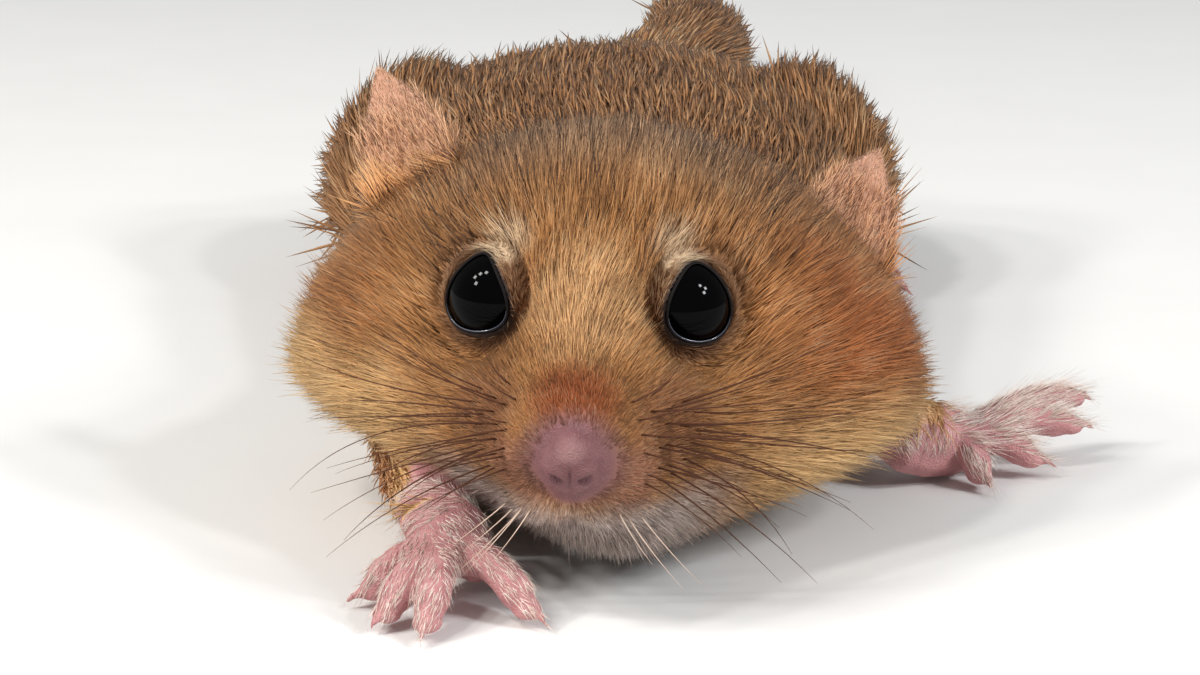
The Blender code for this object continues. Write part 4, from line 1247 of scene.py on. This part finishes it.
# The tail's coat: long soft brown hair that grows from the bony core at a slant all round it and lies back
# to a full brush, with a soft tapered end.
TAIL_TUFTS = 9400
root, normal, draw = fur_roots(TAIL_TUFTS, is_tail[corner].all(axis=1) * 1.0, 27)
TAIL_CORE_LENGTH = np.linalg.norm(np.diff(tail_line, axis=0), axis=1).sum()
TAIL_ENVELOPE_SHARES = (0.0, 0.2, 0.4, 0.6, 0.8, 1.0, 1.1, 1.18)
TAIL_ENVELOPE_RADII = TAIL_COAT_RADII + (2.3, 0.7)
tail_way = unit_rows(np.gradient(tail_line, axis=0))
nearest = np.linalg.norm(root[:, None] - tail_line[None], axis=2).argmin(axis=1)
share = nearest / (len(tail_line) - 1)
core_radius = np.interp(share, np.linspace(0, 1, len(TAIL_CORE_RADII)), TAIL_CORE_RADII)
way = tail_way[nearest] + 0.07 * draw.normal(size=(len(root), 3)) + 0.12 * waves(root, 1.6, 33)
facing = (way * normal).sum(axis=1)
way = unit_rows(way - normal * (facing * smooth_step(0.7, 0.3, facing))[:, None])
length = (6.0 + 3.0 * smooth_step(0.0, 0.5, share)) * draw.uniform(0.75, 1.2, len(root))
tip_share = share + length / TAIL_CORE_LENGTH
tip_radius = np.interp(tip_share, TAIL_ENVELOPE_SHARES, TAIL_ENVELOPE_RADII)
lift = (tip_radius - core_radius) / length / 0.55 * draw.uniform(0.5, 1.05, len(root))
lift *= smooth_step(0.7, 0.3, facing)
tone = np.clip(draw.uniform(0, 1, len(root)) * 0.7 + 0.3 * (0.5 + 0.5 * waves(root, 2.0, 34)[:, 0]), 0, 1)
chart = unwrap(root, 70.0, 124.0)
chart[:, 1] = CHART_EDGE + CHART_SPAN * (np.arctan2(normal[:, 2], normal[:, 0]) + np.pi) / (2 * np.pi)
add_coat(
    "coat_tail", root, normal, way, length, 0.2 * draw.uniform(0.7, 1.3, len(root)), lift, tone, chart,
    stations=((0.0, 0.7), (0.35, 1.0), (0.72, 0.75)), bend=0.45,
)


# The guard hairs: longer hairs set thinly in the face's coat, some dark, some golden, and single dark
# hairs that stand up out of the coat over the crown and nape.
FACE_GUARD_HAIRS = 14000
GUARD_HAIRS = 800
over_weight = furred_face * smooth_step(1.5, 6.0, y) * (1 - smooth_step(19.0, 25.0, y))
over_weight *= smooth_step(3.0, 6.0, middle_place[:, 2])
root, normal, draw = fur_roots(FACE_GUARD_HAIRS, over_weight, 29, 1.5)
way = unit_rows(flow(root, normal) + 0.14 * draw.normal(size=(len(root), 3)))
behind = smooth_step(9.0, 13.0, root[:, 1])
length = short_of_eyes(root, way, draw.uniform(1.6, 2.6, len(root)) * (1 - 0.4 * behind))
tone = np.where(draw.uniform(size=len(root)) < 0.55, 0.03, draw.uniform(0.3, 1.0, len(root)))
add_coat(
    "face_guard_hairs", root, normal, way, length, np.full(len(root), 0.05),
    draw.uniform(0.12, 0.5, len(root)) * (1 - 0.6 * behind),
    tone, unwrap(root, -5.0, 26.0), stations=STRAIGHT,
)

guard_weight = furred_face * smooth_step(12.5, 15.0, middle_place[:, 2]) * (1 - smooth_step(24.0, 34.0, y))
guard_weight *= smooth_step(5.0, 9.0, y) * (1 - smooth_step(14.0, 19.0, y))
root, normal, draw = fur_roots(GUARD_HAIRS, guard_weight, 28)
way = unit_rows(flow(root, normal) + 0.25 * draw.normal(size=(len(root), 3)))
length = draw.uniform(1.4, 2.8, len(root))
add_coat(
    "guard_hairs", root, normal, way, length, np.full(len(root), 0.036), draw.uniform(0.45, 1.1, len(root)),
    np.full(len(root), 0.01), unwrap(root, -5.0, 36.0), stations=((0.0, 1.0), (0.45, 0.8)), bend=0.3,
)


# The whiskers: stiff tapered hairs that stand in rows on both sides of the muzzle, dark brown, the longest
# behind, with a few pale ones low at the lips.
WHISKER_POINTS = 15
WHISKER_TAPER = 1 - 0.85 * np.linspace(0, 1, WHISKER_POINTS) ** 1.2
PALE_WHISKER_RADIUS = 0.032
PALE_WHISKERS = {1: 3, -1: 6}
WHISKER_ROWS = (
    # height of the row, first and last distance back, count, length of the first and last, rise
    (11.0, -1.4, -0.4, 2, (1.8, 2.2), 0.62),
    (10.5, -1.8, 0.8, 4, (5.0, 8.0), 0.22),
    (9.9, -2.0, 1.0, 5, (6.0, 10.0), 0.04),
    (9.3, -2.1, 1.0, 5, (6.0, 10.5), -0.14),
    (8.7, -2.1, 0.8, 5, (5.0, 9.5), -0.3),
    (8.2, -2.0, 0.4, 4, (4.0, 8.0), -0.5),
)


def nearest_on_hide(seek, side, weight=(1.0, 1.0, 1.0)):
    gap = (skin_place - seek) * np.array(weight)
    return skin_place[np.linalg.norm(gap + (skin_place[:, [0]] * side < 0) * 99, axis=1).argmin()]


def whisker_lines(side, draw):
    """Points along each whisker, and how thick it is at each."""
    made = []
    for height, first, last, count, lengths, rise in WHISKER_ROWS:
        for k in range(count):
            share = k / max(count - 1, 1)
            seek = np.array((side * 3.2, first + (last - first) * share, height + draw.uniform(-0.2, 0.2)))
            root = nearest_on_hide(seek, side, (0.35, 1.0, 1.0))
            length = lengths[0] + (lengths[1] - lengths[0]) * share
            length *= draw.uniform(0.7, 1.15)
            start_way = np.array((side, -0.15 + 0.3 * share, rise + draw.uniform(-0.14, 0.14)))
            start_way /= np.linalg.norm(start_way)
            bend = np.array((-0.1 * side, 0.34, -0.14 + 0.3 * rise)) + draw.normal(size=3) * 0.1
            t = np.linspace(0, 1, WHISKER_POINTS)[:, None]
            line = root + length * (t * start_way + t * t * bend)
            made.append((line, draw.uniform(0.034, 0.048) * WHISKER_TAPER))
    return made


def tubes(lines, hint, sides, flat=1.0):
    """Points and faces of closed tubes along lines, each given with its radius at every point."""
    rings, faces = [], []
    turn = 2 * np.pi * np.arange(sides)[:, None] / sides
    for line, radii in lines:
        first = len(rings) * sides
        last = first + (len(line) - 1) * sides
        ahead = unit_rows(np.gradient(line, axis=0))
        side = unit_rows(np.cross(ahead, hint))
        up = np.cross(side, ahead)
        for i, radius in enumerate(radii):
            rings.append(line[i] + radius * (flat * np.cos(turn) * side[i] + np.sin(turn) * up[i]))
        for a in range(first, last, sides):
            for k in range(sides):
                after = (k + 1) % sides
                faces.append((a + k, a + after, a + sides + after, a + sides + k))
        faces.append(tuple(range(first + sides - 1, first - 1, -1)))
        faces.append(tuple(range(last, last + sides)))
    return np.vstack(rings), faces


def whisker_mesh(name, lines):
    points, faces = tubes(lines, (0.0, 0.2, 1.0), 5)
    points = posed(points)
    points[:, 2] = np.maximum(points[:, 2], 0.03)
    return new_piece(name, points, faces)


BROWN_SHADES = (colour(96, 58, 38), colour(58, 32, 22))
PALE_SHADES = (colour(236, 214, 196), colour(206, 172, 150))
whisker_material = mottled("whisker", 0.55, 0.15, *BROWN_SHADES, 1500.0)[0]
pale_material = mottled("pale_whisker", 0.35, 0.4, *PALE_SHADES, 1500.0)[0]
draw = np.random.default_rng(41)
dark_lines, pale_lines = [], []
for side in (1, -1):
    dark_lines += whisker_lines(side, draw)
    for k in range(PALE_WHISKERS[side]):
        seek = np.array((side * (1.6 + 0.5 * k), -2.0 + 0.35 * k, 6.9 - 0.25 * k))
        root = nearest_on_hide(seek, side)
        t = np.linspace(0, 1, WHISKER_POINTS)[:, None]
        way = np.array((side * (0.45 + 0.1 * k), -0.25, -0.75))
        line = root + draw.uniform(2.0, 4.0) * (t * way + t * t * np.array((side * 0.1, 0.25, -0.1)))
        pale_lines.append((line, PALE_WHISKER_RADIUS * WHISKER_TAPER))
finished(whisker_mesh("whiskers", dark_lines), "whiskers", whisker_material)
finished(whisker_mesh("pale_whiskers", pale_lines), "pale_whiskers", pale_material)


# The claws: small pale hooked claws of clear horn, one grown from the end of each finger and toe, deeper
# than they are wide and drawn to a point.
CLAW_POINTS = 9
CLAW_SIDES = 10
CLAW_TAPER = 0.18 * (1 - np.linspace(0, 1, CLAW_POINTS) ** 1.6) + 0.025


def claw_line(palm, tip):
    ahead = np.array((tip[0] - palm[0], tip[1] - palm[1], 0.0))
    ahead /= np.linalg.norm(ahead)
    tip = np.array(tip)
    t = np.linspace(0, 1, CLAW_POINTS)[:, None]
    line = tip - ahead * 0.35 + ahead * 1.05 * t + np.array((0, 0, 0.2)) * np.sin(math.pi * t * 0.9)
    line[:, 2] -= 0.3 * t[:, 0] ** 2
    line[:, 2] = np.maximum(line[:, 2], 0.12)
    return line


feet = [(RIGHT_PALM, RIGHT_FINGERTIPS), (LEFT_PALM, LEFT_FINGERTIPS)]
feet += [(mirrored(SOLE_END, side), [mirrored(tip, side) for tip in TOE_TIPS]) for side in (1, -1)]
claw_lines = [(claw_line(palm, tip), CLAW_TAPER) for palm, tips in feet for tip in tips]
claw_points, claw_faces = tubes(claw_lines, (0.0, 0.0, 1.0), CLAW_SIDES, 0.8)
claw_points[:, 2] = np.maximum(claw_points[:, 2], 0.01)
HORN_SHADES = (colour(244, 222, 204), colour(214, 176, 156))
claw_material = mottled("horn", 0.3, 0.5, *HORN_SHADES, 2500.0, 3.0)[0]
claws = new_piece("claws", claw_points, claw_faces)
outward(claws)
finished(claws, "claws", claw_material)


# The floor, the light and the view: a plain pale ground under soft daylight from windows on both sides,
# seen from a little above the nose as in the picture. Places in the picture are in its own pixels.
PIXEL = 0.04
VIEW_DOWN = math.radians(15.0)
CAMERA_AWAY = 115.0
SENSOR_WIDTH = 36
FRAME_WIDTH = 1200
FRAME_MIDDLE = (600.0, 337.5)
EYES_IN_FRAME = (590.0, 294.5)
mesh = bpy.data.meshes.new("floor")
mesh.from_pydata([(-2, -2, 0), (2, -2, 0), (2, 2, 0), (-2, 2, 0)], [], [(0, 1, 2, 3)])
floor = bpy.data.objects.new("floor", mesh)
bpy.context.scene.collection.objects.link(floor)
FLOOR_SHADES = ((0.78, 0.77, 0.75, 1.0), (0.74, 0.73, 0.71, 1.0))
mesh.materials.append(mottled("floor", 0.8, 0.2, *FLOOR_SHADES, 400.0, 3.0)[0])


def middle(node):
    low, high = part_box(node)
    return (Vector(low) + Vector(high)) / 2


eyes = (middle("eye_left") + middle("eye_right")) / 2
back = Vector((0, -math.cos(VIEW_DOWN), math.sin(VIEW_DOWN)))
right = Vector((1, 0, 0))
up = Vector((0, math.sin(VIEW_DOWN), math.cos(VIEW_DOWN)))
target = eyes + right * (FRAME_MIDDLE[0] - EYES_IN_FRAME[0]) * PIXEL * METRE
target -= up * (FRAME_MIDDLE[1] - EYES_IN_FRAME[1]) * PIXEL * METRE
lens = bpy.data.cameras.new("camera")
lens.sensor_width = SENSOR_WIDTH
lens.lens = SENSOR_WIDTH * CAMERA_AWAY / (FRAME_WIDTH * PIXEL)
lens.clip_start = 0.001
camera = bpy.data.objects.new("camera", lens)
bpy.context.scene.collection.objects.link(camera)
turn = Matrix((right, up, back)).transposed().to_4x4()
camera.matrix_world = Matrix.Translation(target + back * CAMERA_AWAY * METRE) @ turn
bpy.context.scene.camera = camera

world = bpy.data.worlds.new("daylight")
bpy.context.scene.world = world
world.use_nodes = True
world.node_tree.nodes["Background"].inputs["Color"].default_value = (0.94, 0.97, 1.0, 1.0)
world.node_tree.nodes["Background"].inputs["Strength"].default_value = 0.42


def soft_light(name, place, size, energy, tint):
    lamp = bpy.data.lights.new(name, "AREA")
    lamp.energy = energy
    lamp.size = size
    lamp.color = tint
    item = bpy.data.objects.new(name, lamp)
    bpy.context.scene.collection.objects.link(item)
    away = Vector(place)
    item.matrix_world = Matrix.Translation(eyes + away) @ away.to_track_quat("Z", "Y").to_matrix().to_4x4()


KEY_PANES = ((-0.28, -0.08, 0.24), (-0.22, -0.09, 0.28), (-0.26, -0.14, 0.18), (-0.15, -0.11, 0.30))
FILL_PANES = ((0.24, -0.14, 0.27), (0.30, -0.12, 0.23), (0.27, -0.16, 0.18))
WINDOWS = (
    # name, places of its panes, width of a pane, energy, tint
    ("key", KEY_PANES, 0.036, 0.33, (1.0, 0.98, 0.95)),
    ("fill", FILL_PANES, 0.032, 0.35, (0.95, 0.97, 1.0)),
)
for name, places, size, energy, tint in WINDOWS:
    for k, place in enumerate(places):
        soft_light("%s_%d" % (name, k + 1), place, size, energy, tint)
bpy.context.scene.view_settings.view_transform = "Standard"
